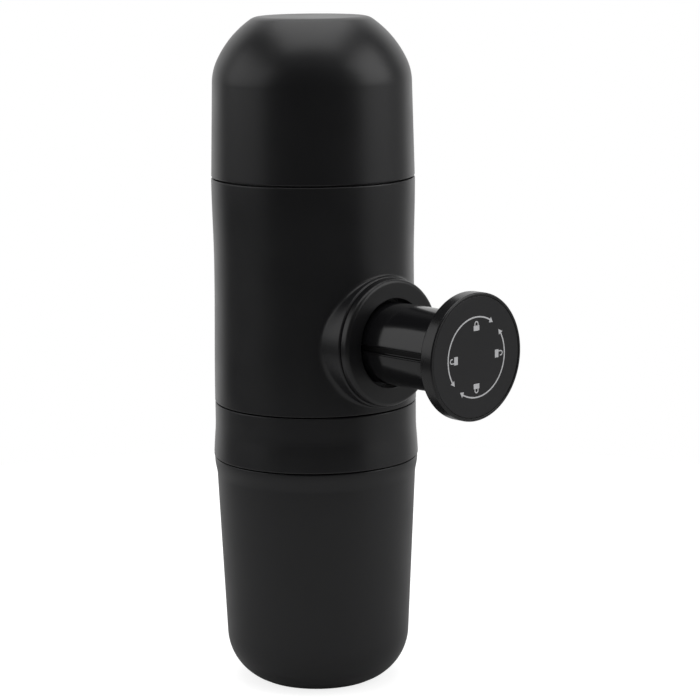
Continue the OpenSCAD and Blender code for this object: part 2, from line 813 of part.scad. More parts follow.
module brew_head() {
    color("#1f1f21") difference() {
        union() {
            bar(deck_r, brew_flange_z0, brew_deck_z1);
            bar(spigot_r, spigot_z0, brew_flange_z0 + E);
            rotate_extrude() rib_outline(spigot_r, spigot_crest_r, spigot_z0 + spigot_rib_up, THREAD_RIBS);
            for (sx = [-1, 1], sy = [-1, 1])
                translate([sx * post_x, sy * post_y, 0]) bar(post_r, brew_deck_z1 - E, neck_floor_z0);
            translate([saddle_x - saddle_l / 2, -saddle_w / 2, brew_deck_z1 - E])
                cube([saddle_l, saddle_w, saddle_h]);
        }
        bar(spigot_bore_r, spigot_z0 - E, shower_z1);
        difference() {
            bar(spigot_bore_r - shower_ledge, shower_z1 - E, brew_deck_z0);
            bar(screw_boss_r, shower_z1 - 1, brew_deck_z0 + 1);
        }
        bar(screw_r + FIT / 2, shower_z1 - 1, brew_deck_z1 - brew_deck_t / 6);
        along_x() bar(housing_r + FIT, -casing_r, casing_r);
        translate([valve_x, 0, 0]) bar(valve_r + FIT, brew_deck_z0 - E, brew_deck_z1 + E);
        for (sx = [-1, 1], sy = [-1, 1])
            translate([sx * post_x, sy * post_y, 0])
                bar(screw_r + FIT / 2, neck_floor_z0 - screw_bite - 1, neck_floor_z0 + 1);
    }
}

// Flat pattern of a round perforated plate: rings of holes, the outer one holding outer_count
module hole_rings(r_max, rings, outer_count, inner = 1) {
    for (k = [inner:rings]) {
        n = max(6, round(outer_count * k / rings));
        for (i = [0:n - 1]) rotate(360 * (i + k / 2) / n)
            translate([r_max * k / rings, 0]) circle(d = hole_d, $fn = 16);
    }
}

module shower_screen() {
    color("#c2c2c6") translate([0, 0, shower_z0]) linear_extrude(shower_t) difference() {
        circle(r = spigot_bore_r - TOUCH);
        circle(r = screw_r + 0.2);
        hole_rings(spigot_bore_r - gasket_w - shower_ledge, 4, shower_holes, 2);
    }
}

module screen_screw() {
    color("#b8b8bb") difference() {
        union() {
            bar(screw_head_r, shower_z0 - screen_head_t, shower_z0);
            bar(screw_r, shower_z0 - E, brew_deck_z1 - brew_deck_t / 3);
        }
        screw_cross(shower_z0 - screen_head_t + screw_slot_w / 2);
    }
}

module shower_gasket() {
    color("#5a2320") tube(spigot_bore_r - TOUCH, spigot_bore_r - TOUCH - gasket_w, gasket_z0, shower_z0);
}

// ---- Outlet head ----

module outlet_head() {
    flare_z = collar_z0 + collar_flare_h;
    top_r = collar_top_r;
    foot_r = collar_foot_r;
    groove_r = skirt_r - ring_groove_t;
    groove_z = cup_ring_z - ring_groove_w / 2;
    skirt_in_r = skirt_r - skirt_wall;
    color("#262628") rotate_extrude() {
        polygon(concat(
            // funnel and nozzle, inside upwards
            [[nozzle_r, nozzle_up], [nozzle_r, throat_z], [funnel_r, funnel_z], [funnel_r, seat_z],
                [seat_r, seat_z], [seat_r, web_z1],
                [collar_bore_r, web_z1], [collar_bore_r, collar_z1 - EDGE],
                [collar_bore_r + EDGE, collar_z1], [top_r - EDGE, collar_z1], [top_r, collar_z1 - EDGE]],
            // collar, flared towards the cup
            [for (i = [0:6]) let (t = i / 6)
                [top_r + (foot_r - top_r) * t, flare_z - (collar_flare_h - EDGE) * t]],
            [[foot_r - EDGE, collar_z0]],
            // skirt, with the groove for the cup's ring
            [[skirt_r, collar_z0], [skirt_r, groove_z + ring_groove_w], [groove_r, groove_z + ring_groove_w],
                [groove_r, groove_z], [skirt_r, groove_z], [skirt_r, skirt_z0 + EDGE],
                [skirt_r - EDGE, skirt_z0], [skirt_in_r, skirt_z0],
                [skirt_in_r, collar_z0 - skirt_gap], [funnel_r + funnel_wall, collar_z0 - skirt_gap]],
            // funnel and nozzle, outside downwards
            [[funnel_r + funnel_wall, funnel_z - funnel_gap],
                [nozzle_r + nozzle_wall, throat_z - nozzle_wall / 2],
                [nozzle_r + nozzle_wall - EDGE, nozzle_up]]));
        rib_outline(collar_bore_r, collar_crest_r, spigot_z0 + spigot_rib_up + thread_pitch / 2, THREAD_RIBS);
    }
}

module head_seal() {
    color("#5a2320") tube(spigot_r, spigot_bore_r + TOUCH, web_z1 + seal_gap,
        spigot_z0 - seal_gap);
}

// Soft ring that holds the cup on the skirt
module cup_ring() {
    color("#5a2320") translate([0, 0, cup_ring_z]) o_ring(cup_ring_r, cup_ring_wire);
}

module filter_basket() {
    r_in = basket_in_r;
    color("#b4b4b8") difference() {
        union() {
            tube(basket_rim_r, r_in, basket_z1 - basket_rim_t, basket_z1);
            bar(basket_r, basket_z0, basket_z1 - TOUCH);
        }
        bar(r_in, basket_z0 + basket_wall, basket_z1 + E);
        translate([0, 0, basket_z0 - 1]) linear_extrude(3)
            hole_rings(r_in - basket_shoulder, 3, shower_holes * 3 / 4);
    }
}

// Fine steel filter lying on the basket's floor
module basket_screen() {
    mesh_t = 0.3;
    color("#cfcfd3") translate([0, 0, basket_z0 + basket_wall]) linear_extrude(mesh_t) difference() {
        circle(r = basket_in_r - TOUCH);
        hole_rings(basket_in_r - basket_shoulder / 2, 4, shower_holes);
    }
}

// ---- Cup ----

module cup() {
    bead_z = cup_h - cup_bead_h;
    straight_z = skirt_z0 - 1;
    lean = atan(cup_taper / (bead_z - cup_heel_up));
    corner_c = [cup_heel_r - cup_corner_r * cos(lean), cup_heel_up + cup_corner_r * sin(lean)];
    base_turn = asin(corner_c[1] / cup_corner_r);
    inner_r = cup_corner_r - cup_wall;
    floor_turn = asin((corner_c[1] - cup_floor) / inner_r);
    color("#29292b") rotate_extrude() polygon(concat(
        [[0, 0]],
        arc(corner_c, cup_corner_r, -base_turn, -lean),
        [[cup_mouth_r, bead_z], [cup_rim_r, cup_h - EDGE], [cup_rim_r - EDGE, cup_h],
            [cup_lip_r + EDGE, cup_h], [cup_lip_r, cup_h - EDGE], [cup_lip_r, straight_z]],
        arc(corner_c, inner_r, -lean, -floor_turn),
        [[0, cup_floor]]));
}

water_tank();
tank_seal();
body_shell();
tank_neck();
neck_screws();
inlet_strainer();
inlet_tube();
inlet_valve();
inlet_ball();
inlet_spring();
pump_cylinder();
cylinder_cap();
pump_housing();
outlet_valve();
outlet_ball();
outlet_spring();
boss_bezel();
guide_bush();
lock_pins();
plunger();
plunger_seal();
return_spring();
spring_seat();
thrust_washer();
knob_screw();
knob_sleeve();
knob_cap();
knob_face();
brew_head();
shower_screen();
screen_screw();
shower_gasket();
outlet_head();
head_seal();
cup_ring();
filter_basket();
basket_screen();
cup();
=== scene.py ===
# %% [markdown]
# # A hand-pumped espresso maker, piece by piece
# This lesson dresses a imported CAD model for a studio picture. The CAD model is the
# frame: it says where every piece is and which body carries it. Each cell below takes
# one piece or one finish of the real object, says what it is, and makes it in Blender.
# All lengths in the code are in millimetres until the last moment, and MM turns them
# into Blender's metres.

# %% Load the frame
import math

import bmesh
import bpy
import numpy as np
from mathutils import Matrix, Vector


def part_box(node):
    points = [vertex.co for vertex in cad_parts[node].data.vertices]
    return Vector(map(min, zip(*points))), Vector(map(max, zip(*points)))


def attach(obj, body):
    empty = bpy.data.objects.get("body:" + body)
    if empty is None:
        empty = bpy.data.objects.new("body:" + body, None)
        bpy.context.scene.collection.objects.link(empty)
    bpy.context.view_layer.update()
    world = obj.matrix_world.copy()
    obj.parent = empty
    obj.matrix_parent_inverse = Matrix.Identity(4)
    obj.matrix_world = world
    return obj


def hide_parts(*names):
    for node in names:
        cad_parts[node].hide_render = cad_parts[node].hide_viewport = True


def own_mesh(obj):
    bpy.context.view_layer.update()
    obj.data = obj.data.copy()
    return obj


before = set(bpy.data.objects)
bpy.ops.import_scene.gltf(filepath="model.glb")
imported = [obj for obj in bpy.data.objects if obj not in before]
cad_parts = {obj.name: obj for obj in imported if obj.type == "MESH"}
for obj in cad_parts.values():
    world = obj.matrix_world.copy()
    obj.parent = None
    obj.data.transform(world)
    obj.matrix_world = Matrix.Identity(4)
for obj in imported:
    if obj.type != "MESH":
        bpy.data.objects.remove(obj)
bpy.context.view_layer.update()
MM = 0.001

# %% [markdown]
# ## The camera first
# The photograph was taken with a long lens from a little above the lid. The camera is
# set out in a frame of its own, with the object at the origin and the lens looking
# along +Y, and then turned round the object, because the knob points partly towards
# the lens and the CAD model has its knob along +X.

# %% Camera
KNOB_AZIMUTH = math.radians(47)     # how far the knob points away from the picture's right
CAMERA_DISTANCE = 755               # from the object's axis
CAMERA_HEIGHT = 236.3               # above the table
CAMERA_PITCH = 0.1783               # looking down, radians
CAMERA_YAW = 0.0139
CAMERA_ROLL = -0.0091
FRAME_PX = 700                      # width and height of the picture
FOCAL_PX = 2553.0                   # focal length in the picture's pixels
SENSOR = 36


def studio(right, away, up):
    """A point given as the photographer sees it, in mm, as a point of the model in metres."""
    c, s = math.cos(KNOB_AZIMUTH), math.sin(KNOB_AZIMUTH)
    return Vector((right * c - away * s, right * s + away * c, up)) * MM


def studio_direction(v):
    return (studio(*v) - studio(0, 0, 0)).normalized()


forward = Vector((math.sin(CAMERA_YAW) * math.cos(CAMERA_PITCH),
                  math.cos(CAMERA_YAW) * math.cos(CAMERA_PITCH), -math.sin(CAMERA_PITCH)))
right = forward.cross(Vector((0, 0, 1))).normalized()
up = right.cross(forward)
right, up = (right * math.cos(CAMERA_ROLL) + up * math.sin(CAMERA_ROLL),
             up * math.cos(CAMERA_ROLL) - right * math.sin(CAMERA_ROLL))
axes = [studio_direction(v) for v in (right, up, -forward)]
camera = bpy.data.objects.new("camera", bpy.data.cameras.new("camera"))
bpy.context.collection.objects.link(camera)
camera.matrix_world = (Matrix.Translation(studio(0, -CAMERA_DISTANCE, CAMERA_HEIGHT))
                       @ Matrix(axes).transposed().to_4x4())
camera.data.sensor_width = SENSOR
camera.data.lens = FOCAL_PX * SENSOR / FRAME_PX
camera.data.clip_start, camera.data.clip_end = 0.05, 20
bpy.context.scene.camera = camera
print("lens %.1f mm, camera at" % camera.data.lens, [round(v, 3) for v in camera.location])

# %% [markdown]
# ## Finishes
# Almost everything that shows is one black plastic, moulded in a tool with a fine
# spark-eroded texture. What tells it from a flat black is small: the highlight breaks
# up on the grain, and the roughness drifts a little where hands have polished it. So
# each finish is a Principled shader whose roughness and bump come from noise in
# Object coordinates, at the real grain size. A value that is the same all over is
# typed into the shader's own socket.


# %% A helper that wires one finish
def finish(name, color, rough, spread=0.04, grain=0.0, grain_size=0.35, tint=0.0, metal=0.0,
           stretch=(1, 1, 1), specular=0.5, scratches=0.0):
    """A Principled material. rough and spread set the roughness, grain the depth of the
    bump in mm and grain_size its pitch in mm, tint how much the colour drifts, stretch how
    the pattern is pulled out, and scratches the depth in mm of fine wavy lines."""
    drift_size = 14                      # mm between a dull patch and a shiny one
    mat = bpy.data.materials.new(name)
    mat.use_nodes = True
    nodes, links = mat.node_tree.nodes, mat.node_tree.links
    shader = nodes["Principled BSDF"]
    shader.inputs["Base Color"].default_value = (*color, 1)
    shader.inputs["Metallic"].default_value = metal
    shader.inputs["IOR"].default_value = 1.5
    shader.inputs["Specular IOR Level"].default_value = specular
    where = nodes.new("ShaderNodeTexCoord")
    place = nodes.new("ShaderNodeMapping")
    place.inputs["Scale"].default_value = stretch
    links.new(where.outputs["Object"], place.inputs["Vector"])

    def noise(size, detail=2.0):
        n = nodes.new("ShaderNodeTexNoise")
        n.inputs["Scale"].default_value = 1 / (size * MM)
        n.inputs["Detail"].default_value = detail
        links.new(place.outputs["Vector"], n.inputs["Vector"])
        return n.outputs["Fac"]

    drift = nodes.new("ShaderNodeMapRange")
    for label, value in (("From Min", 0.3), ("From Max", 0.7),
                         ("To Min", rough - spread), ("To Max", rough + spread)):
        drift.inputs[label].default_value = value
    links.new(noise(drift_size, 4), drift.inputs["Value"])
    links.new(drift.outputs["Result"], shader.inputs["Roughness"])
    if tint:
        shade = nodes.new("ShaderNodeMix")
        shade.data_type = "RGBA"
        shade.inputs["A"].default_value = (*[c * (1 - tint) for c in color], 1)
        shade.inputs["B"].default_value = (*[c * (1 + tint) for c in color], 1)
        links.new(noise(drift_size * 1.7, 3), shade.inputs["Factor"])
        links.new(shade.outputs["Result"], shader.inputs["Base Color"])
    last = None
    if grain:
        bump = nodes.new("ShaderNodeBump")
        bump.inputs["Strength"].default_value = 0.6
        bump.inputs["Distance"].default_value = grain * MM
        links.new(noise(grain_size), bump.inputs["Height"])
        last = bump
    if scratches:
        lines = nodes.new("ShaderNodeTexWave")
        lines.inputs["Scale"].default_value = 0.35 / MM
        lines.inputs["Distortion"].default_value = 14
        lines.inputs["Detail"].default_value = 4
        links.new(place.outputs["Vector"], lines.inputs["Vector"])
        bump = nodes.new("ShaderNodeBump")
        bump.inputs["Strength"].default_value = 0.35
        bump.inputs["Distance"].default_value = scratches * MM
        links.new(lines.outputs["Fac"], bump.inputs["Height"])
        if last:
            links.new(last.outputs["Normal"], bump.inputs["Normal"])
        last = bump
    if last:
        links.new(last.outputs["Normal"], shader.inputs["Normal"])
    return mat


# %% The finishes of this object
casing_black = finish("casing_black", (0.0056, 0.0056, 0.0064), 0.36, 0.03, grain=0.016,
                      grain_size=0.30, tint=0.10)
gloss_black = finish("gloss_black", (0.0050, 0.0050, 0.0055), 0.15, 0.03, grain=0.004,
                     grain_size=2.2, tint=0.05, scratches=0.0006)
ring_black = finish("ring_black", (0.0050, 0.0050, 0.0055), 0.33, 0.03, grain=0.006,
                    grain_size=0.8, tint=0.05)
# The sleeve's tracks: a matt finish whose darker colour is painted shade in the narrow tracks.
matt_track_painted_shade = finish("matt_track_painted_shade", (0.0030, 0.0030, 0.0033), 0.60, 0.05, grain=0.006,
                     grain_size=0.4, specular=0.3)
knob_black = finish("knob_black", (0.0048, 0.0048, 0.0053), 0.27, 0.03, grain=0.006,
                    grain_size=0.5, tint=0.05, scratches=0.0006)
face_black = finish("face_black", (0.0068, 0.0068, 0.0077), 0.34, 0.03, grain=0.010,
                    grain_size=0.25, tint=0.06)
print_grey = finish("print_grey", (0.42, 0.42, 0.43), 0.50, 0.05, grain=0.006, grain_size=0.15,
                    tint=0.08)
inner_black = finish("inner_black", (0.014, 0.014, 0.015), 0.36, 0.05, grain=0.008,
                     grain_size=0.6, tint=0.10)
pump_grey = finish("pump_grey", (0.050, 0.050, 0.056), 0.40, 0.05, grain=0.008, grain_size=0.5,
                   tint=0.10)
white_plastic = finish("white_plastic", (0.66, 0.66, 0.62), 0.38, 0.05, grain=0.006,
                       grain_size=0.6, tint=0.03)
silicone = finish("silicone", (0.24, 0.045, 0.030), 0.58, 0.06, grain=0.014, grain_size=0.4,
                  tint=0.10)
seal_black = finish("seal_black", (0.012, 0.012, 0.012), 0.50, 0.06, grain=0.010,
                    grain_size=0.3, tint=0.10)
turned_steel = finish("turned_steel", (0.60, 0.60, 0.61), 0.27, 0.06, grain=0.006,
                      grain_size=0.5, tint=0.04, metal=1, stretch=(1, 1, 12))
pressed_steel = finish("pressed_steel", (0.62, 0.62, 0.63), 0.32, 0.06, grain=0.008,
                       grain_size=0.8, tint=0.04, metal=1, scratches=0.0005)
spring_wire = finish("spring_wire", (0.50, 0.50, 0.51), 0.30, 0.06, grain=0.006,
                     grain_size=0.3, tint=0.06, metal=1)
ball_steel = finish("ball_steel", (0.70, 0.70, 0.71), 0.08, 0.02, tint=0.02, metal=1)
print(len(bpy.data.materials), "materials")

# %% [markdown]
# ## From points to a piece
# Each piece is handed to one small function that makes a mesh object, points its
# faces outwards and shades it smooth except at real corners, and to a second one that
# tells the frame which body carries it and which CAD nodes it stands for.


# %% Helpers for pieces
def dress(obj, body, material, slot, *replaced):
    """Gives a finished mesh object its material and its place in the frame."""
    if material:
        obj.data.materials.clear()
        obj.data.materials.append(material)
    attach(obj, body)
    if replaced:
        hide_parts(*replaced)
    print("%-22s %6d faces, rides on %s" % (obj.name, len(obj.data.polygons), body))


def object_from(bm, name, corner=None):
    """A mesh object from a bmesh, which is used up. With corner, it is shaded smooth, and
    edges sharper than that many degrees stay sharp."""
    mesh = bpy.data.meshes.new(name)
    bm.to_mesh(mesh)
    bm.free()
    stored = mesh.attributes.get("custom_normal")
    if stored:                           # normals of loose triangles don't fit a merged mesh
        mesh.attributes.remove(stored)
    if corner:
        mesh.shade_smooth()
        mesh.set_sharp_from_angle(angle=math.radians(corner))
    obj = bpy.data.objects.new(name, mesh)
    bpy.context.collection.objects.link(obj)
    return obj


# %% Two ways to a mesh: from points, or from the CAD solid
def mesh_object(name, verts, faces, corner=40):
    """A mesh object from points in metres, with its doubles merged and faces outwards."""
    loose = bpy.data.meshes.new(name + "_loose")
    loose.from_pydata([tuple(v) for v in verts], [], [tuple(f) for f in faces])
    bm = bmesh.new()
    bm.from_mesh(loose)
    bpy.data.meshes.remove(loose)
    bmesh.ops.remove_doubles(bm, verts=bm.verts, dist=1e-7)
    bmesh.ops.dissolve_degenerate(bm, dist=1e-8, edges=bm.edges)
    bmesh.ops.recalc_face_normals(bm, faces=bm.faces)
    return object_from(bm, name, corner)


def smooth_copy(node, material, slot, body):
    """A CAD node's own mesh as a new piece, merged and shaded smooth."""
    bm = bmesh.new()
    bm.from_mesh(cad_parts[node].data)
    bmesh.ops.remove_doubles(bm, verts=bm.verts, dist=2e-6)
    dress(object_from(bm, node + "_piece", corner=32), body, material, slot, node)


# %% [markdown]
# ## Outlines for turned pieces
# Tank, cup, collar, ring and knob are all bodies of revolution. In a moulded part no
# edge is truly sharp, and the thin bright line along an edge is what tells the eye
# how it was made. So an outline is written as corner points that each carry an edge
# radius; one helper rounds them, a second adds points on long runs so that smooth
# shading stays true next to a small radius, and a third spins the result.


# %% Outline and lathe helpers
def rounded(points, arc_steps=5):
    """Corner points (r, z, edge radius) of a closed outline, with each corner rounded."""
    out = []
    count = len(points)
    for i, (r, z, edge) in enumerate(points):
        p = np.array([r, z], float)
        if edge <= 0:
            out.append(p)
            continue
        a = np.array(points[i - 1][:2], float) - p
        b = np.array(points[(i + 1) % count][:2], float) - p
        la, lb = np.linalg.norm(a), np.linalg.norm(b)
        a, b = a / la, b / lb
        half = math.acos(max(-1, min(1, float(a @ b)))) / 2
        if half > math.radians(88):      # the outline runs straight on here
            out.append(p)
            continue
        cut = min(edge / math.tan(half), 0.48 * la, 0.48 * lb)
        radius = cut * math.tan(half)
        centre = p + (a + b) / np.linalg.norm(a + b) * radius / math.sin(half)
        start, end = p + a * cut - centre, p + b * cut - centre
        t0, t1 = math.atan2(start[1], start[0]), math.atan2(end[1], end[0])
        turn = (t1 - t0 + math.pi) % (2 * math.pi) - math.pi
        for k in range(arc_steps + 1):
            t = t0 + turn * k / arc_steps
            out.append(centre + radius * np.array([math.cos(t), math.sin(t)]))
    return out


def spaced(outline, step=2.0, closed=True):
    """The outline with extra points, so that no run is longer than step and each long run
    has a point close to both its ends."""
    out = []
    count = len(outline)
    for i in range(count if closed else count - 1):
        p, q = np.array(outline[i], float), np.array(outline[(i + 1) % count], float)
        out.append(p)
        length = float(np.linalg.norm(q - p))
        if length > 0.9:
            near = min(0.12, length / 6) / length
            n = max(1, int(math.ceil(length / step)))
            ts = sorted({near, 1 - near, *[k / n for k in range(1, n)]})
            out += [p + (q - p) * t for t in ts]
    if not closed:
        out.append(np.array(outline[-1], float))
    return out


def spin(name, outline, axis="z", height=0.0, sides=180, corner=40, closed=True):
    """Turns an outline of (radius, distance along the axis) points in mm about Z, or about
    the piston's axis, which runs along X at the given height."""
    ring = np.array(outline, float)
    angles = np.arange(sides) * 2 * math.pi / sides
    verts, rows = [], []
    for r, a in ring:
        if r < 1e-6:
            rows.append([len(verts)] * sides)
            verts.append((0, 0, a) if axis == "z" else (a, 0, height))
            continue
        rows.append(list(range(len(verts), len(verts) + sides)))
        for t in angles:
            c, s = r * math.cos(t), r * math.sin(t)
            verts.append((c, s, a) if axis == "z" else (a, c, height + s))
    faces = []
    count = len(rows)
    for i in range(count if closed else count - 1):
        lo, hi = rows[i], rows[(i + 1) % count]
        if lo[0] == lo[-1] and hi[0] == hi[-1]:
            continue
        for k in range(sides):
            n = (k + 1) % sides
            face = [lo[k], lo[n], hi[n], hi[k]]
            face = [v for j, v in enumerate(face) if v != face[j - 1]]
            faces.append(face)
    return mesh_object(name, np.array(verts) * MM, faces, corner)


def arc_points(centre, radius, start, end, steps):
    """Points of an arc in the outline's plane, angles in degrees."""
    return [np.array([centre[0] + radius * math.cos(math.radians(t)),
                      centre[1] + radius * math.sin(math.radians(t))])
            for t in np.linspace(start, end, steps)]


# %% [markdown]
# ## Levels and radii of the casings
# These are the sizes that the CAD source sets, in millimetres. The levels come back
# from the CAD boxes themselves, so a change there moves the dressed pieces too.

# %% Sizes
def cad(node):
    """Lowest and highest corner of a CAD node, in mm."""
    low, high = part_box(node)
    return low / MM, high / MM


CUP_H = cad("cup")[1].z
COLLAR_Z0 = CUP_H + 0.3
COLLAR_Z1 = COLLAR_Z0 + 16.3
BODY_Z0, BODY_Z1 = (corner.z for corner in cad("body_shell"))
TANK_Z0, TANK_Z1 = (corner.z for corner in cad("water_tank"))
CASING_R = 30.25
BODY_BORE_R = 27.6
AXIS_Z = sum(corner.z for corner in cad("knob_face")) / 2
KNOB_X = cad("knob_face")[1].x
print("seams at", [round(v, 2) for v in (CUP_H, COLLAR_Z1, BODY_Z1)],
      "and the piston's axis at", round(AXIS_Z, 2))

# %% [markdown]
# ## Water tank
# The top casing is a screw-on cap that holds the hot water. Its side draws in very
# slightly, then three arcs that run into one another carry it over to a small flat
# top: a quick one at the shoulder, a slow one, and the edge of the flat. The wall
# inside follows the same centres, so it is one closed outline, spun once.

# %% Water tank: the centres of its three arcs
TANK_WALL = 2.2
TANK_BORE = 27.2                     # where the neck goes in
SHOULDER_R, CROWN_R, TOP_EDGE_R = 16, 30, 5
SHOULDER_TURN = 25                   # degrees of the first arc
SHOULDER_DROP = 19.5                 # from the top down to where the first arc starts
RIM_R = CASING_R - 0.05
SHOULDER_START = CASING_R - 0.73     # radius where the first arc starts
turn_in = np.array([math.cos(math.radians(SHOULDER_TURN)), math.sin(math.radians(SHOULDER_TURN))])
side_centre = np.array([SHOULDER_START - SHOULDER_R, TANK_Z1 - SHOULDER_DROP])
crown_centre = side_centre + (SHOULDER_R - CROWN_R) * turn_in
crown_turn = math.degrees(math.asin((TANK_Z1 - crown_centre[1] - TOP_EDGE_R)
                                    / (CROWN_R - TOP_EDGE_R)))
top_centre = crown_centre + (CROWN_R - TOP_EDGE_R) * np.array(
    [math.cos(math.radians(crown_turn)), math.sin(math.radians(crown_turn))])
print("flat on top to r =", round(top_centre[0], 2))


# %% Water tank: its outline, spun
def tank_side(off, steps):
    """Outline of the tank from its shoulder to the middle of its top, off mm inside."""
    return (arc_points(side_centre, SHOULDER_R - off, 0, SHOULDER_TURN, steps)[:-1]
            + arc_points(crown_centre, CROWN_R - off, SHOULDER_TURN, crown_turn, steps)[:-1]
            + arc_points(top_centre, TOP_EDGE_R - off, crown_turn, 90, steps)
            + [np.array([0, TANK_Z1 - off])])


tank_rim = rounded([(TANK_BORE, TANK_Z0 + 10.4, 0), (TANK_BORE, TANK_Z0, 0.35),
                    (RIM_R, TANK_Z0, 0.38), (SHOULDER_START, TANK_Z1 - SHOULDER_DROP, 0)])
outline = spaced(tank_rim + tank_side(0, 22)[1:], 1.6, closed=False)
outline += spaced(tank_side(TANK_WALL, 14)[::-1]
                  + [np.array([RIM_R - TANK_WALL - 0.26, TANK_Z0 + 11.2]),
                     np.array([TANK_BORE, TANK_Z0 + 10.4])], 2.5, closed=False)[:-1]
water_tank = spin("water_tank_cover", outline, sides=240)
dress(water_tank, "water_tank", casing_black, "casing", "water_tank")

# %% [markdown]
# ## Pump body with its boss
# The body draws in at a waist and carries a short round boss for the piston. The
# boss is nearly level with the body above and below, but stands proud at its sides,
# and a soft fillet, as wide as the height allows, runs round its root. A boolean
# leaves a hard line there, and a bevel breaks on it, so the shell's points are laid out
# one by one: a regular grid goes round the body with a window left open, and rings of
# points run from the window's edge, over the fillet and the boss, round its mouth
# and back to a matching window in the bore. Every ring has as many points as the
# window, so the whole shell closes without a single boolean.

# %% Pump body: the body's outline and the fillet at one angle round the boss
BOSS_R = 19.3
BOSS_FRONT = cad("body_shell")[1].x
BOSS_BORE = 16.25
BOSS_FILLET, BOSS_EDGE = 2.2, 0.55   # the widest that they get
WAIST_Z = BODY_Z0 + 41.3


def body_radius(z):
    """Outside radius of the pump body at height z, drawn in by 0.45 mm at the waist."""
    span = (WAIST_Z - BODY_Z0) if z < WAIST_Z else (BODY_Z1 - WAIST_Z)
    t = min(1, abs(z - WAIST_Z) / span)
    return CASING_R - 0.45 * (1 + math.cos(math.pi * t)) / 2


def surface_x(y, z, radius=None):
    """How far out the body's surface is at (y, z), looking along the piston."""
    r = body_radius(z) if radius is None else radius
    return math.sqrt(max(r * r - y * y, 0))


def boss_profile(psi):
    """Points (distance from the piston's axis, x) from the body's surface over the fillet
    and round the boss's front edge, at angle psi round the boss."""
    def skin(rho):
        return surface_x(rho * math.cos(psi), AXIS_Z + rho * math.sin(psi))
    rise = BOSS_FRONT - skin(BOSS_R)
    fillet = min(BOSS_FILLET, 0.55 * rise)
    edge = min(BOSS_EDGE, 0.4 * rise)
    rho_c = BOSS_R + fillet
    rhos = np.linspace(BOSS_R - 0.5, BOSS_R + 3 * fillet + 0.5, 160)
    xs = np.array([skin(r) for r in rhos])
    low, high = skin(rho_c), BOSS_FRONT
    for _ in range(40):
        x_c = (low + high) / 2
        near = np.hypot(rhos - rho_c, xs - x_c).min()
        low, high = (x_c, high) if near < fillet else (low, x_c)
    k = int(np.argmin(np.hypot(rhos - rho_c, xs - x_c)))
    t_end = math.atan2(xs[k] - x_c, rhos[k] - rho_c)
    arc = arc_points((rho_c, x_c), fillet, math.degrees(t_end) % 360, 180, 8)
    side = [np.array([BOSS_R, x_c + (BOSS_FRONT - edge - x_c) * t]) for t in (0.33, 0.67)]
    lip = arc_points((BOSS_R - edge, BOSS_FRONT - edge), edge, 0, 90, 6)
    return rhos[k], arc + side + lip


# %% Pump body: the outline of its wall, from the bottom edge up and down again inside
COLUMNS = 288
WINDOW = 42                          # columns to each side of the boss
edge_rows = rounded([(BODY_BORE_R, BODY_Z0 + 0.05, 0.25), (CASING_R, BODY_Z0 + 0.05, 0.30),
                     (CASING_R, BODY_Z0 + 2, 0)], 5)[:-1]
outer_edge = [(r, z) for r, z in edge_rows if r > BODY_BORE_R + 0.5]
inner_edge = [(r, z) for r, z in edge_rows if r <= BODY_BORE_R + 0.5]
win_lo, win_hi = BODY_Z0 + 0.37, AXIS_Z + 25.2
zs_win = list(np.linspace(win_lo, win_hi, 32))
zs_top = list(np.linspace(win_hi, BODY_Z1 - 0.55, 17))[1:]
top_edge = rounded([(CASING_R, BODY_Z1 - 3, 0), (CASING_R, BODY_Z1 - 0.07, 0.38),
                    (28.5, BODY_Z1 - 0.07, 0.2), (28.5, BODY_Z1 - 1.0, 0),
                    (BODY_BORE_R, BODY_Z1 - 1.0, 0)], 5)[1:]
outer = outer_edge + [(None, z) for z in zs_win + zs_top]
profile = outer + [tuple(p) for p in top_edge]
profile += [(BODY_BORE_R, z) for z in zs_top[::-1][2:] + zs_win[::-1]] + inner_edge
first_win = len(outer_edge)
last_win = first_win + len(zs_win) - 1
inner_last = len(profile) - len(inner_edge) - 1
inner_first = inner_last - len(zs_win) + 1
print(len(profile), "rows of", COLUMNS, "points")

# %% Pump body: a grid with a window in it
verts, index = [], {}
for i, (r, z) in enumerate(profile):
    radius = body_radius(z) if r is None else r
    for c in range(COLUMNS):
        t = 2 * math.pi * c / COLUMNS
        index[i, c] = len(verts)
        verts.append((radius * math.cos(t), radius * math.sin(t), z))


def in_window(i, c):
    """True for a grid face that the boss takes the place of."""
    beside = c < WINDOW or c >= COLUMNS - WINDOW
    return beside and (first_win <= i < last_win or inner_first <= i < inner_last)


faces = []
for i in range(len(profile)):
    j = (i + 1) % len(profile)
    for c in range(COLUMNS):
        n = (c + 1) % COLUMNS
        if not in_window(i, c):
            faces.append((index[i, c], index[i, n], index[j, n], index[j, c]))


def window_loop(bottom, top):
    """Grid points round a window, once, anticlockwise as seen from the front."""
    step = 1 if top > bottom else -1
    cols = [c % COLUMNS for c in range(-WINDOW, WINDOW + 1)]
    rows = list(range(bottom, top + step, step))
    return ([(bottom, c) for c in cols] + [(i, cols[-1]) for i in rows[1:]]
            + [(top, c) for c in cols[-2::-1]] + [(i, cols[0]) for i in rows[-2:0:-1]])


outer_loop = window_loop(first_win, last_win)
inner_loop = window_loop(inner_last, inner_first)
print("window loops of", len(outer_loop), "points")

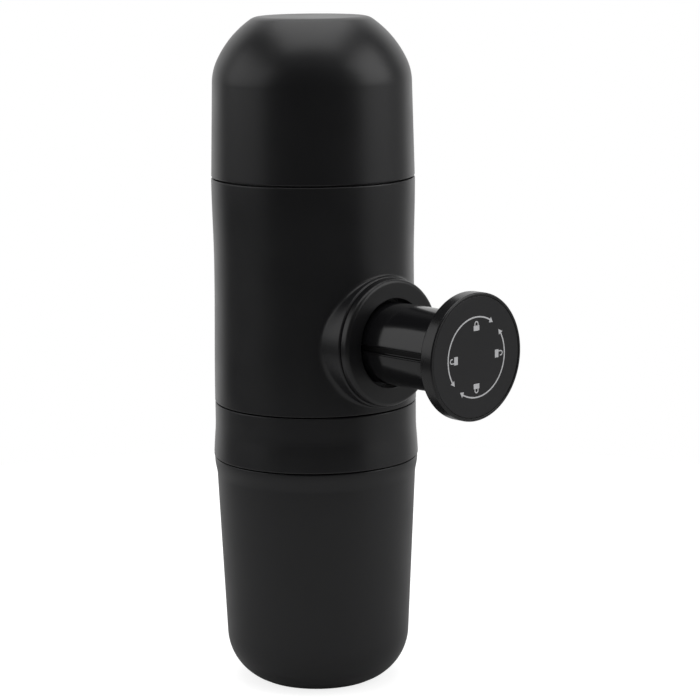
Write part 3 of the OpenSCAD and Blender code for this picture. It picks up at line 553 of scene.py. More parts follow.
# %% Pump body: the boss that fills the window
columns_of_rings = []
for (i, c), (ii, ci) in zip(outer_loop, inner_loop):
    x, y, z = verts[index[i, c]]
    psi, reach = math.atan2(z - AXIS_Z, y), math.hypot(y, z - AXIS_Z)
    foot, rise = boss_profile(psi)
    run = []
    for t in np.linspace(0, 1, 9)[1:-1]:
        rho = reach + (foot - reach) * (1 - (1 - t) ** 1.3)
        yy, zz = rho * math.cos(psi), AXIS_Z + rho * math.sin(psi)
        run.append((surface_x(yy, zz), yy, zz))
    for rho, xx in rise + [np.array([r, BOSS_FRONT]) for r in (18.0, 17.0)]:
        run.append((xx, rho * math.cos(psi), AXIS_Z + rho * math.sin(psi)))
    yb, zb = BOSS_BORE * math.cos(psi), AXIS_Z + BOSS_BORE * math.sin(psi)
    x_in = surface_x(yb, zb, BODY_BORE_R)
    run += [(BOSS_FRONT + (x_in - BOSS_FRONT) * t, yb, zb) for t in (0, 0.04, 0.5, 1)]
    xi, yi, zi = verts[index[ii, ci]]
    for t in (0.3, 0.65):
        yy, zz = yb + (yi - yb) * t, zb + (zi - zb) * t
        run.append((surface_x(yy, zz, BODY_BORE_R), yy, zz))
    start = len(verts)
    verts += run
    columns_of_rings.append([index[i, c], *range(start, start + len(run)), index[ii, ci]])
for a, b in zip(columns_of_rings, columns_of_rings[1:] + columns_of_rings[:1]):
    faces += [(a[k], b[k], b[k + 1], a[k + 1]) for k in range(len(a) - 1)]
body_shell = mesh_object("pump_body_shell", np.array(verts) * MM, faces)
dress(body_shell, "pump_body", casing_black, "casing", "body_shell")

# %% [markdown]
# ## Ring at the front of the boss
# A separate satin ring closes the boss. It is set off from it by a narrow groove, and
# its front edge is well rounded, so that it catches a soft line of light.

# %% Front ring of the boss
RING_R, RING_X = cad("boss_bezel")[1].y, cad("boss_bezel")[1].x
RING_BORE, GROOVE = 13.0, 0.25
ring_outline = rounded([(14.25, 22, 0), (16.2, 22, 0.2), (16.2, BOSS_FRONT, 0),
                        (RING_R - 0.5, BOSS_FRONT, 0), (RING_R - 0.5, BOSS_FRONT + GROOVE, 0),
                        (RING_R, BOSS_FRONT + GROOVE, 0.12), (RING_R, RING_X, 1.7),
                        (RING_BORE, RING_X, 0.35), (RING_BORE, 29.0, 0), (14.25, 29.0, 0)], 9)
boss_ring = spin("boss_ring", spaced(ring_outline, 1.2), axis="x", height=AXIS_Z, sides=216,
                 corner=45)
dress(boss_ring, "pump_body", ring_black, "gloss_black", "boss_bezel")

# %% [markdown]
# ## Sleeve with its lock tracks
# Two fixed pins run in tracks cut in the sleeve. A straight track lets the knob
# travel, a leg at its end lets it turn and lock, and a ring track lets it turn when it
# is out. The tracks are blind, so the sleeve is made as a grid round the axis whose
# cells are either at the outer radius or sunk, with walls between. A small bevel on
# its edges gives the tracks the moulded look. Only the outside is polished, so the
# tracks have a matt finish of their own, and their darker colour is painted shade.

# %% Sleeve: where the tracks run
SLEEVE_R, SLEEVE_BORE, TRACK_DEPTH = 12.0, 9.6, 1.3
SLEEVE_X0, SLEEVE_X1 = (corner.x for corner in cad("knob_sleeve"))
PIN_X, LOCK_X = 30.5, 58.5           # where the pins stand with the knob out and pushed home
TRACK_HALF, LEG_HALF = 0.95, 1.5     # half the width of the tracks, and of the leg that locks
LEG_END = 186.0                      # degrees; the other leg ends half a turn further on
half_track = math.degrees(math.asin(TRACK_HALF / SLEEVE_R))
x_cuts = [SLEEVE_X0, PIN_X - TRACK_HALF, PIN_X + TRACK_HALF, LOCK_X - LEG_HALF,
          LOCK_X + LEG_HALF, SLEEVE_X1]
turns = sorted({90 - half_track, 90 + half_track, 270 - half_track, 270 + half_track,
                LEG_END, LEG_END - 180})


def filled(cuts, step):
    """The cuts with even points between them, no further apart than step."""
    out = []
    for a, b in zip(cuts, cuts[1:]):
        n = max(1, int(math.ceil((b - a) / step)))
        out += [a + (b - a) * k / n for k in range(n)]
    return out


x_lines = filled(x_cuts, 3.0) + [SLEEVE_X1]
a_lines = filled(turns + [turns[0] + 360], 2.5)


def sunk(angle, x):
    """True where a track is cut. Angles run from -Z through +Y, as in the CAD source."""
    angle %= 360
    ring = abs(x - PIN_X) < TRACK_HALF
    straight = (min(abs(angle - 90), abs(angle - 270)) < half_track
                and PIN_X < x < LOCK_X + LEG_HALF)
    leg = abs(x - LOCK_X) < LEG_HALF and (90 <= angle < LEG_END or angle >= 270
                                          or angle < LEG_END - 180)
    return ring or straight or leg


print(len(a_lines), "by", len(x_lines), "lines on the sleeve")


# %% Sleeve: cells at two depths, and the walls between them
bm = bmesh.new()
made = {}


def corner_at(i, j, r):
    """The point where lines i and j cross, at radius r. Each is made only once."""
    i %= len(a_lines)
    if (i, j, r) not in made:
        t = math.radians(a_lines[i])
        spot = Vector((x_lines[j], r * math.sin(t), AXIS_Z - r * math.cos(t)))
        made[i, j, r] = bm.verts.new(spot * MM)
    return made[i, j, r]


def cell_face(polished, *corners):
    """A face of the sleeve. What isn't polished takes the tracks' matt finish, whose darker colour
    is painted shade.
    """
    bm.faces.new([corner_at(*c) for c in corners]).material_index = 0 if polished else 1


cells_round, cells_long = len(a_lines), len(x_lines) - 1
deep = {}
for i in range(cells_round):
    a_mid = (a_lines[i] + (a_lines + [a_lines[0] + 360])[i + 1]) / 2
    for j in range(cells_long):
        x_mid = (x_lines[j] + x_lines[j + 1]) / 2
        deep[i, j] = SLEEVE_R - TRACK_DEPTH if sunk(a_mid, x_mid) else SLEEVE_R
for (i, j), r in deep.items():
    cell_face(r == SLEEVE_R, (i, j, r), (i + 1, j, r), (i + 1, j + 1, r), (i, j + 1, r))
    cell_face(True, (i, j, SLEEVE_BORE), (i, j + 1, SLEEVE_BORE),
              (i + 1, j + 1, SLEEVE_BORE), (i + 1, j, SLEEVE_BORE))
    beside = deep[(i + 1) % cells_round, j]
    if beside != r:
        cell_face(False, (i + 1, j, r), (i + 1, j, beside), (i + 1, j + 1, beside),
                  (i + 1, j + 1, r))
    ahead = deep.get((i, j + 1), r)
    if ahead != r:
        cell_face(False, (i, j + 1, r), (i + 1, j + 1, r), (i + 1, j + 1, ahead),
                  (i, j + 1, ahead))
    if j in (0, cells_long - 1):
        k = 0 if j == 0 else cells_long
        cell_face(True, (i, k, r), (i + 1, k, r), (i + 1, k, SLEEVE_BORE), (i, k, SLEEVE_BORE))
bmesh.ops.remove_doubles(bm, verts=bm.verts, dist=1e-7)
bmesh.ops.recalc_face_normals(bm, faces=bm.faces)
print("sleeve before its edges are softened:", len(bm.faces), "faces")

# %% Sleeve: soft edges
sharp = [e for e in bm.edges if len(e.link_faces) == 2 and e.calc_face_angle() > math.radians(50)]
bmesh.ops.bevel(bm, geom=sharp, offset=0.16 * MM, segments=3, profile=0.5, affect="EDGES",
                clamp_overlap=True)
knob_sleeve = object_from(bm, "knob_sleeve_tracks", corner=50)
for material in (gloss_black, matt_track_painted_shade):
    knob_sleeve.data.materials.append(material)
dress(knob_sleeve, "knob", None, "gloss_black", "knob_sleeve")

# %% [markdown]
# ## Knob
# The knob is a thick disc with a small hub that the sleeve is pressed into. Its rim is
# polished, and a satin disc is let into its face. The photograph's bright double line
# round the face is the rim's edge and, just inside it, the step down to the inlay.

# %% Knob's disc
KNOB_R, KNOB_BACK = cad("knob_cap")[1].y, KNOB_X - 4.2
FACE_R = cad("knob_face")[1].y - 0.05
DISC_BACK = KNOB_BACK - 0.35
RECESS = KNOB_X - 0.65               # floor of the recess that holds the inlay
HUB_R = 12.8
screw_low, screw_high = cad("knob_screw")
screw_well = (screw_high.y - screw_low.y) / 2 + 0.9
cap_outline = rounded([
    (1.7, KNOB_BACK - 0.8, 0), (1.7, KNOB_BACK + 1.6, 0), (screw_well, KNOB_BACK + 1.6, 0),
    (screw_well, RECESS, 0), (FACE_R + 0.1, RECESS, 0), (FACE_R + 0.1, KNOB_X - 0.02, 0.12),
    (KNOB_R, KNOB_X - 0.02, 0.5), (KNOB_R, DISC_BACK, 0.7), (HUB_R + 1.0, DISC_BACK, 0.5),
    (HUB_R, DISC_BACK - 0.9, 0.3), (HUB_R, KNOB_BACK - 2.5, 0.25),
    (12.05, KNOB_BACK - 2.5, 0), (12.05, KNOB_BACK - 0.95, 0),
    (SLEEVE_BORE, KNOB_BACK - 0.95, 0), (SLEEVE_BORE, KNOB_BACK - 0.8, 0)], 7)
knob_cap = spin("knob_disc", spaced(cap_outline, 1.5), axis="x", height=AXIS_Z, sides=240)
dress(knob_cap, "knob", knob_black, "gloss_black", "knob_cap")

# %% Knob's inlay
FACE_X = KNOB_X - 0.14
face_outline = rounded([(0, RECESS + 0.05, 0), (FACE_R, RECESS + 0.05, 0),
                        (FACE_R, FACE_X, 0.12), (0, FACE_X, 0)], 6)
knob_face = spin("knob_inlay", spaced(face_outline, 1.5, closed=False), axis="x",
                 height=AXIS_Z, sides=240, closed=False)
dress(knob_face, "knob", face_black, "face", "knob_face")

# %% [markdown]
# ## Turning marks
# Two thin arcs with arrowheads are printed on the inlay, with small padlocks inside
# them, closed and open, for the two ways to turn. Print is a film a few hundredths of
# a millimetre thick, so each mark is a flat outline given that depth, which keeps its
# edge clean at any zoom.

# %% Printed film
marks_bm = bmesh.new()
FILM = 0.04                          # how far the print stands out
FILM_ROOT = 0.02                     # how far it goes into the inlay


def film(polygons):
    """Adds one flat mark from polygons that share their corner points. Points are (right,
    up) from the knob's centre, in mm. Only edges used once get a side wall."""
    low, high, edges = {}, {}, {}
    for polygon in polygons:
        area = sum(p[0] * q[1] - q[0] * p[1] for p, q in zip(polygon, polygon[1:] + polygon[:1]))
        ring = [(round(float(y), 5), round(float(z), 5))
                for y, z in (polygon if area > 0 else polygon[::-1])]
        for y, z in ring:
            if (y, z) not in low:
                for level, x in ((low, FACE_X - FILM_ROOT), (high, FACE_X + FILM)):
                    level[y, z] = marks_bm.verts.new(Vector((x, y, AXIS_Z + z)) * MM)
        marks_bm.faces.new([high[p] for p in ring])
        marks_bm.faces.new([low[p] for p in ring[::-1]])
        for p, q in zip(ring, ring[1:] + ring[:1]):
            edges[p, q] = True
    for p, q in edges:
        if (q, p) not in edges:
            marks_bm.faces.new([high[q], high[p], low[p], low[q]])


def strip(inner, outer):
    """Polygons between two rows of points."""
    return [[a, b, c, d] for a, b, c, d in zip(inner, inner[1:], outer[1:], outer)]


# %% Two arcs with arrowheads
RING, LINE = 11.5, 0.42              # radius of the arcs and width of their line


def polar(r, clock):
    """A point at radius r and at an hour on the clock, seen from the knob's front."""
    t = math.radians(90 - clock * 30)
    return (r * math.cos(t), r * math.sin(t))


def turning_arc(start, end, head=1.5, wing=0.85):
    """An arc from one hour to another, with an arrowhead of its own at each end."""
    hours = np.linspace(start, end, 64)
    inner, outer = ([polar(RING + side * LINE / 2, h) for h in hours] for side in (-1, 1))
    polygons = strip(inner, outer)
    for hour, way, k in ((start, -1, 0), (end, 1, -1)):
        tip = polar(RING - 0.1, hour + way * math.degrees(head / RING) / 30)
        base = [polar(RING - wing, hour), inner[k], outer[k], polar(RING + wing, hour)]
        polygons += [[a, b, tip] for a, b in zip(base, base[1:])]
    film(polygons)


turning_arc(7.95, 12.95)
turning_arc(2.0, 6.95)
print("arcs:", len(marks_bm.faces), "faces")

# %% Four padlocks
LOCK_R = 8.7                         # how far out a padlock stands
SHACKLE = (0.46, 0.80)               # inner and outer radius of its shackle
HALF_W, FOOT, SHOULDER = 1.15, -1.1, 0.35    # its body


def padlock(clock, is_open):
    """A padlock that stands upright as read from the knob's middle."""
    t = math.radians(-clock * 30)
    c, s = math.cos(t), math.sin(t)

    def place(points):
        return [(c * x - s * (y + LOCK_R), s * x + c * (y + LOCK_R)) for x, y in points]

    legs = SHOULDER + (0.95 if is_open else 0.5)
    arch = [math.pi * k / 14 for k in range(15)]
    rails = []
    for r in SHACKLE:
        rail = [(-r, SHOULDER)] + [(-r * math.cos(q), legs + r * math.sin(q)) for q in arch]
        rails.append(rail + [(r, 0.95 if is_open else SHOULDER)])
    cuts = [-HALF_W, -SHACKLE[1], -SHACKLE[0]] + ([] if is_open else list(SHACKLE)) + [HALF_W]
    body = strip(place([(x, FOOT) for x in cuts]), place([(x, SHOULDER) for x in cuts]))
    film(body + strip(*[place(rail) for rail in rails]))


for hour, is_open in ((0, False), (3, True), (6, False), (9, True)):
    padlock(hour, is_open)
dress(object_from(marks_bm, "turning_marks"), "knob", print_grey, "face")

# %% [markdown]
# ## Outlet head and cup
# Below the body comes the outlet head: a collar that flares out a little, an inner
# thread, a skirt that plugs into the cup, and the funnel and nozzle inside. Under it
# the cup, which the whole device stands on, has a bead round its rim, a slow taper and
# a large round corner at its foot.

# %% Outlet head
COLLAR_R, FLARE, FLARE_H = 30.2, 0.6, 10.5
SKIRT_R, SKIRT_H, HEAD_BORE = 27.6, 9.0, 26.9
SKIRT_END = COLLAR_Z0 - SKIRT_H
NOZZLE_END, FUNNEL_END = 38.0, 76.3
GROOVE_Z = SKIRT_END + 4.4           # the groove that holds the soft ring for the cup
GROOVE_R = 25.8
FLARE_STEPS = [(0, 0.0), (0.12, 0.02), (0.25, 0.08), (0.4, 0.20), (0.55, 0.32), (0.7, 0.42),
               (0.85, 0.51)]         # share of the way down, and mm further out
collar_side = [(COLLAR_R + out, COLLAR_Z0 + FLARE_H - (FLARE_H - 0.3) * down, 0)
               for down, out in FLARE_STEPS]
head_outline = rounded(
    [(3.2, NOZZLE_END, 0.4), (3.2, 46.0, 3.0), (19.3, 57.1, 1.0), (19.3, FUNNEL_END, 0.3),
     (22.3, FUNNEL_END, 0.3), (22.3, 73.7, 0), (HEAD_BORE, 73.7, 0), (HEAD_BORE, COLLAR_Z1, 0.3),
     (COLLAR_R, COLLAR_Z1, 0.3)] + collar_side
    + [(COLLAR_R + FLARE, COLLAR_Z0, 0.35), (SKIRT_R, COLLAR_Z0, 0), (SKIRT_R, GROOVE_Z + 1, 0.15),
       (GROOVE_R, GROOVE_Z + 1, 0), (GROOVE_R, GROOVE_Z - 1, 0), (SKIRT_R, GROOVE_Z - 1, 0.15),
       (SKIRT_R, SKIRT_END, 0.5), (24.0, SKIRT_END, 0.5), (24.0, COLLAR_Z0 - 0.4, 0.6),
       (21.3, COLLAR_Z0 - 0.4, 0.8), (21.3, 56.1, 1.5), (6.0, 44.6, 2.0),
       (5.7, NOZZLE_END, 0.5)], 6)
outlet_head = spin("outlet_head_collar", spaced(head_outline, 1.6), sides=216)
dress(outlet_head, "outlet_head", casing_black, "casing", "outlet_head")

# %% Cup: the round corner at its foot
CUP_WALL, CUP_FLOOR = 2.0, 2.4
CORNER_R = 16.0
HEEL_R, HEEL_UP, CUP_TAPER = 27.6, 14.0, 2.4
INNER_R = CORNER_R - CUP_WALL
lean = math.degrees(math.atan(CUP_TAPER / (CUP_H - 3 - HEEL_UP)))
corner_centre = np.array([HEEL_R - CORNER_R * math.cos(math.radians(lean)),
                          HEEL_UP + CORNER_R * math.sin(math.radians(lean))])
base_turn = math.degrees(math.asin(corner_centre[1] / CORNER_R))
floor_turn = math.degrees(math.asin((corner_centre[1] - CUP_FLOOR) / INNER_R))
foot_arc = arc_points(corner_centre, CORNER_R, -base_turn, -lean, 30)
foot_edge = rounded([(0, 0, 0), (foot_arc[0][0], 0, 1.0), (*foot_arc[4], 0)], 5)[:-1]
wall_in = arc_points(corner_centre, INNER_R, -lean, -floor_turn, 20)
print("foot flat to r =", round(foot_arc[0][0], 2), "side leans", round(lean, 2), "degrees")

# %% Cup: bead and rim, and the whole outline
BEAD_FOOT_R, BEAD_OUT, RIM_BORE = 29.86, 0.72, 28.0
bead = [np.array([BEAD_FOOT_R + BEAD_OUT * (0.5 - 0.5 * math.cos(math.pi * t)),
                  CUP_H - 6.2 + 5.6 * t]) for t in np.linspace(0, 1, 12)]
rim = rounded([(*bead[-1], 0), (30.6, CUP_H, 0.45), (RIM_BORE, CUP_H, 0.45),
               (RIM_BORE, CUP_H - 9.7, 0)], 5)[1:]
cup_outline = (spaced(foot_edge, 2.5, False) + foot_arc[4:]
               + spaced([foot_arc[-1], bead[0]], 2.5, False)[1:-1] + bead
               + spaced(rim + [wall_in[0]], 2.5, False)[:-1] + wall_in
               + spaced([wall_in[-1], np.array([0, CUP_FLOOR])], 2.5, False)[1:])
cup = spin("coffee_cup", cup_outline, sides=240, closed=False)
dress(cup, "cup", casing_black, "casing", "cup")

# %% [markdown]
# ## A small kit for Geometry Nodes
# Springs, threads and screws repeat or follow a path, which is what Geometry Nodes
# are for. A tree is built once with named sizes and grown into a plain mesh as often
# as it is needed. The modifier is taken off again, so only the mesh is left.


# %% A helper that builds a tree
class Tree:
    """A Geometry Nodes tree with named inputs, and short calls for the nodes it needs."""

    def __init__(self, name, **inputs):
        self.group = bpy.data.node_groups.new(name, "GeometryNodeTree")
        kinds = {float: "NodeSocketFloat", int: "NodeSocketInt", tuple: "NodeSocketVector"}
        for label, value in inputs.items():
            kind = "NodeSocketObject" if value is None else kinds[type(value)]
            socket = self.socket(label, "INPUT", kind)
            if value is not None:
                socket.default_value = value
        self.socket("Material", "INPUT", "NodeSocketMaterial")
        self.socket("Geometry", "OUTPUT", "NodeSocketGeometry")
        self.given = self.add("NodeGroupInput").outputs

    def socket(self, label, way, kind):
        return self.group.interface.new_socket(label, in_out=way, socket_type=kind)

    def add(self, kind, settings=None, **wires):
        """A new node. A wire's name is its socket's label, or its number after a line."""
        node = self.group.nodes.new(kind)
        for key, value in (settings or {}).items():
            setattr(node, key, value)
        for label, value in wires.items():
            numbered = label[0] == "_" and label[1:].isdigit()
            socket = node.inputs[int(label[1:]) if numbered else label.replace("_", " ")]
            if isinstance(value, bpy.types.NodeSocket):
                self.group.links.new(value, socket)
            else:
                socket.default_value = value
        return node

    def join(self, *parts):
        together = self.add("GeometryNodeJoinGeometry")
        for part in parts:
            self.group.links.new(part.outputs[0], together.inputs[0])
        return together

    def calc(self, operation, a, b=0.0):
        return self.add("ShaderNodeMath", {"operation": operation}, _0=a, _1=b).outputs[0]

    def vector(self, x, y, z):
        return self.add("ShaderNodeCombineXYZ", X=x, Y=y, Z=z).outputs[0]

    def done(self, geometry):
        real = self.add("GeometryNodeRealizeInstances", Geometry=geometry).outputs[0]
        painted = self.add("GeometryNodeSetMaterial", Geometry=real,
                           Material=self.given["Material"])
        self.add("NodeGroupOutput", Geometry=painted.outputs[0])
        return self.group


# %% A helper that grows a plain mesh from a tree
def grow(tree, name, material, corner=35, **values):
    """A plain mesh object from a tree, with these values for its named inputs."""
    holder = bpy.data.objects.new(name + "_holder", bpy.data.meshes.new(name + "_holder"))
    bpy.context.collection.objects.link(holder)
    modifier = holder.modifiers.new("nodes", "NODES")
    modifier.node_group = tree
    values["Material"] = material
    for item in tree.interface.items_tree:
        if item.item_type == "SOCKET" and item.in_out == "INPUT" and item.name in values:
            modifier[item.identifier] = values[item.name]
    grown = bpy.data.meshes.new_from_object(
        holder.evaluated_get(bpy.context.evaluated_depsgraph_get()))
    holder.modifiers.remove(modifier)
    bpy.data.objects.remove(holder)
    bm = bmesh.new()
    bm.from_mesh(grown)
    bpy.data.meshes.remove(grown)
    bmesh.ops.remove_doubles(bm, verts=bm.verts, dist=1e-7)
    bmesh.ops.recalc_face_normals(bm, faces=bm.faces)
    obj = object_from(bm, name, corner)
    obj.data.materials.append(material)
    return obj


# %% [markdown]
# ## Springs
# The return spring fills the pump and pushes the knob out, and each valve has a light
# spring under its ball. A compression spring has its end turns wound close, so that
# it stands square. The tree bends a straight line into a coil whose height is the
# middle one of three straight lines: close turns, open turns, close turns.

# %% Spring tree
coil = Tree("coil_spring", Radius=0.007, Wire=0.001, Turns=10.0, Length=0.04, Close_Turns=1.5,
            Sides=12, Turn=(0.0, 0.0, 0.0), Base=(0.0, 0.0, 0.0))
line = coil.add("GeometryNodeCurvePrimitiveLine")
fine = coil.add("GeometryNodeResampleCurve", Curve=line.outputs[0],
                Count=coil.calc("MULTIPLY", coil.given["Turns"], 36.0))
along = coil.add("GeometryNodeSplineParameter").outputs["Factor"]
angle = coil.calc("MULTIPLY", coil.calc("MULTIPLY", along, coil.given["Turns"]), 2 * math.pi)
close_rise = coil.calc("MULTIPLY", coil.given["Wire"], coil.given["Turns"])
share = coil.calc("DIVIDE", coil.given["Close_Turns"], coil.given["Turns"])
close_height = coil.calc("MULTIPLY", coil.given["Close_Turns"], coil.given["Wire"])
open_length = coil.calc("SUBTRACT", coil.given["Length"], coil.calc("MULTIPLY", close_height, 2.0))
open_t = coil.calc("DIVIDE", coil.calc("SUBTRACT", along, share),
                   coil.calc("SUBTRACT", 1.0, coil.calc("MULTIPLY", share, 2.0)))
low_line = coil.calc("MULTIPLY", close_rise, along)
mid_line = coil.calc("ADD", close_height, coil.calc("MULTIPLY", open_length, open_t))
top_line = coil.calc("SUBTRACT", coil.given["Length"],
                     coil.calc("MULTIPLY", close_rise, coil.calc("SUBTRACT", 1.0, along)))
height = coil.calc("MINIMUM", coil.calc("MAXIMUM", low_line, mid_line), top_line)
bent = coil.add("GeometryNodeSetPosition", Geometry=fine.outputs[0], Position=coil.vector(
    coil.calc("MULTIPLY", coil.given["Radius"], coil.calc("COSINE", angle)),
    coil.calc("MULTIPLY", coil.given["Radius"], coil.calc("SINE", angle)), height))
wire = coil.add("GeometryNodeCurvePrimitiveCircle", Resolution=coil.given["Sides"],
                Radius=coil.calc("MULTIPLY", coil.given["Wire"], 0.5))
tube = coil.add("GeometryNodeCurveToMesh", Curve=bent.outputs[0], Profile_Curve=wire.outputs[0],
                Fill_Caps=True)
stood = coil.add("GeometryNodeTransform", Geometry=tube.outputs[0], Rotation=coil.given["Turn"],
                 Translation=coil.given["Base"])
coil_tree = coil.done(stood.outputs[0])
print("nodes in the spring tree:", len(coil.group.nodes))

# %% Three springs
COIL_R, WIRE_D, END_GAP = 7.2 * MM, 1.2 * MM, 0.65 * MM
VALVE_WIRE, BALL_TRAVEL = 0.4 * MM, 1.5 * MM
s0, s1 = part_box("return_spring")
return_spring = grow(coil_tree, "return_spring_coil", spring_wire, Radius=COIL_R, Wire=WIRE_D,
                     Turns=11.0, Length=s1.x - s0.x - 2 * END_GAP, Close_Turns=1.5,
                     Turn=(0.0, math.pi / 2, 0.0), Base=(s0.x + END_GAP, 0.0, AXIS_Z * MM))
dress(return_spring, "pump_body", None, "spring_steel", "return_spring")
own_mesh(return_spring)
for valve in ("inlet", "outlet"):
    b0, b1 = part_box(valve + "_spring")
    spring = grow(coil_tree, valve + "_spring_coil", spring_wire,
                  Radius=(b1.x - b0.x - VALVE_WIRE) / 2, Wire=VALVE_WIRE, Turns=5.0,
                  Length=b1.z - b0.z - VALVE_WIRE, Close_Turns=0.8, Sides=10,
                  Base=((b0.x + b1.x) / 2, (b0.y + b1.y) / 2, b0.z + VALVE_WIRE / 2))
    dress(spring, "pump_body", None, "spring_steel", valve + "_spring")
    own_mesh(spring)

# %% [markdown]
# ## Screws that hold the deck
# Four alike pan-head screws hold the tank's deck to the posts of the pump. One screw
# is turned and gets its cross by a boolean, and a tree sets it on the corners of a
# grid.

# %% One pan-head screw
THREAD_ROOT, THREAD_TIP, HEAD_R, HEAD_H = 0.92, 1.2, 2.8, 1.6
shank = []
for k in range(8):
    z = k - 8.2
    shank += [(THREAD_ROOT, z, 0), (THREAD_TIP, z + 0.3, 0), (THREAD_TIP, z + 0.42, 0),
              (THREAD_ROOT, z + 0.72, 0)]
screw_outline = rounded([(0, -9.6, 0), (0.3, -9.6, 0)] + shank
                        + [(1.15, -0.3, 0), (1.15, 0, 0.1), (HEAD_R, 0, 0.15),
                           (HEAD_R, 0.75, 0.55), (0, HEAD_H, 0)], 5)
pan_screw = spin("pan_screw", spaced(screw_outline, 1.2, closed=False), sides=40, closed=False,
                 corner=30)
print("screw:", len(pan_screw.data.polygons), "faces")

# %% Its cross, cut by a boolean
ARM, SLOT, CROSS_FLOOR = 1.7 * MM, 0.375 * MM, 0.75 * MM
quarter = [(ARM, -SLOT), (ARM, SLOT), (SLOT, SLOT)]
plus = []
for c, s in ((1, 0), (0, 1), (-1, 0), (0, -1)):
    plus += [(c * x - s * y, s * x + c * y) for x, y in quarter]
bm = bmesh.new()
foot = bm.faces.new([bm.verts.new((x, y, CROSS_FLOOR)) for x, y in plus])
raised = bmesh.ops.extrude_face_region(bm, geom=[foot])["geom"]
bmesh.ops.translate(bm, verts=[v for v in raised if isinstance(v, bmesh.types.BMVert)],
                    vec=(0, 0, 2 * MM))
bmesh.ops.recalc_face_normals(bm, faces=bm.faces)
cross_tool = object_from(bm, "screw_cross")
cut = pan_screw.modifiers.new("cross", "BOOLEAN")
cut.object, cut.operation, cut.solver = cross_tool, "DIFFERENCE", "EXACT"
cut_mesh = bpy.data.meshes.new_from_object(
    pan_screw.evaluated_get(bpy.context.evaluated_depsgraph_get()))
pan_screw.modifiers.remove(cut)
pan_screw.data = cut_mesh
bpy.data.objects.remove(cross_tool)
print("screw with its cross:", len(cut_mesh.polygons), "faces")

# %% Four of them by Geometry Nodes
grid = Tree("screws_on_a_grid", Screw=None, Across=0.014, Along=0.0376, Level=0.15, Turned=0.4)
spots = grid.add("GeometryNodeMeshGrid", Size_X=grid.given["Across"], Size_Y=grid.given["Along"],
                 Vertices_X=2, Vertices_Y=2)
one = grid.add("GeometryNodeObjectInfo", Object=grid.given["Screw"])
number = grid.calc("ADD", grid.add("GeometryNodeInputIndex").outputs[0], 1.0)
many = grid.add("GeometryNodeInstanceOnPoints", Points=spots.outputs[0],
                Instance=one.outputs["Geometry"],
                Rotation=grid.vector(0.0, 0.0, grid.calc("MULTIPLY", number, grid.given["Turned"])))
lifted = grid.add("GeometryNodeTransform", Geometry=many.outputs[0],
                  Translation=grid.vector(0.0, 0.0, grid.given["Level"]))
screws_tree = grid.done(lifted.outputs[0])
neck_screws = grow(screws_tree, "deck_screws", turned_steel, corner=30, Screw=pan_screw,
                   Level=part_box("neck_screws")[1].z - HEAD_H * MM, Across=14.0 * MM,
                   Along=2 * 18.8 * MM)
dress(neck_screws, "pump_body", None, "steel", "neck_screws")
bpy.data.objects.remove(pan_screw)

# %% [markdown]
# ## Screw threads
# Tank and brew head screw on with coarse moulded threads. Each thread is a tapered
# rib that climbs a helix and fades at both ends, as a moulder cuts it. The tree sweeps
# a four-sided profile, with a wide root sunk in the wall and a narrow crest.

# %% Thread tree
rib = Tree("thread_rib", Root=0.0254, Crest=0.0262, Width=0.002, Bottom=0.1545, Pitch=0.004,
           Turns=1.6, Start=0.0)
sheet = rib.add("GeometryNodeMeshGrid", Size_X=1.0, Size_Y=1.0,
                Vertices_X=rib.calc("MULTIPLY", rib.given["Turns"], 96.0), Vertices_Y=5)
flat = rib.add("ShaderNodeSeparateXYZ", Vector=rib.add("GeometryNodeInputPosition").outputs[0])
way = rib.calc("ADD", flat.outputs["X"], 0.5)
corner_no = rib.calc("MULTIPLY", rib.calc("ADD", flat.outputs["Y"], 0.5), 4.0)


def among(low, high):
    """1 for the profile's corners whose number is between low and high, else 0."""
    return rib.calc("MULTIPLY", rib.calc("GREATER_THAN", corner_no, low),
                    rib.calc("LESS_THAN", corner_no, high))


nearer_end = rib.calc("MINIMUM", way, rib.calc("SUBTRACT", 1.0, way))
fade = rib.calc("MINIMUM", rib.calc("MULTIPLY", nearer_end, 12.0), 1.0)
depth = rib.calc("SUBTRACT", rib.given["Crest"], rib.given["Root"])
out = rib.calc("MULTIPLY", fade, rib.calc("SUBTRACT", rib.calc("MULTIPLY", among(0.5, 2.5), 1.3),
                                          0.3))
radius_at = rib.calc("ADD", rib.given["Root"], rib.calc("MULTIPLY", depth, out))
rise = rib.calc("MULTIPLY", among(2.5, 3.5), 0.5)
for weight, low, high in ((0.2, 1.5, 2.5), (-0.2, 0.5, 1.5), (-0.5, -1.0, 0.5), (-0.5, 3.5, 5.0)):
    rise = rib.calc("ADD", rise, rib.calc("MULTIPLY", among(low, high), weight))
rise = rib.calc("MULTIPLY", rib.calc("MULTIPLY", rise, rib.given["Width"]), fade)
turned = rib.calc("ADD", rib.given["Start"],
                  rib.calc("MULTIPLY", rib.calc("MULTIPLY", way, rib.given["Turns"]), 2 * math.pi))
climb = rib.calc("MULTIPLY", rib.calc("MULTIPLY", way, rib.given["Turns"]), rib.given["Pitch"])
swept = rib.add("GeometryNodeSetPosition", Geometry=sheet.outputs[0], Position=rib.vector(
    rib.calc("MULTIPLY", radius_at, rib.calc("COSINE", turned)),
    rib.calc("MULTIPLY", radius_at, rib.calc("SINE", turned)),
    rib.calc("ADD", rib.given["Bottom"], rib.calc("ADD", climb, rise))))
sewn = rib.add("GeometryNodeMergeByDistance", Geometry=swept.outputs[0], Distance=1e-6)
thread_tree = rib.done(sewn.outputs[0])
print("nodes in the thread tree:", len(rib.group.nodes))

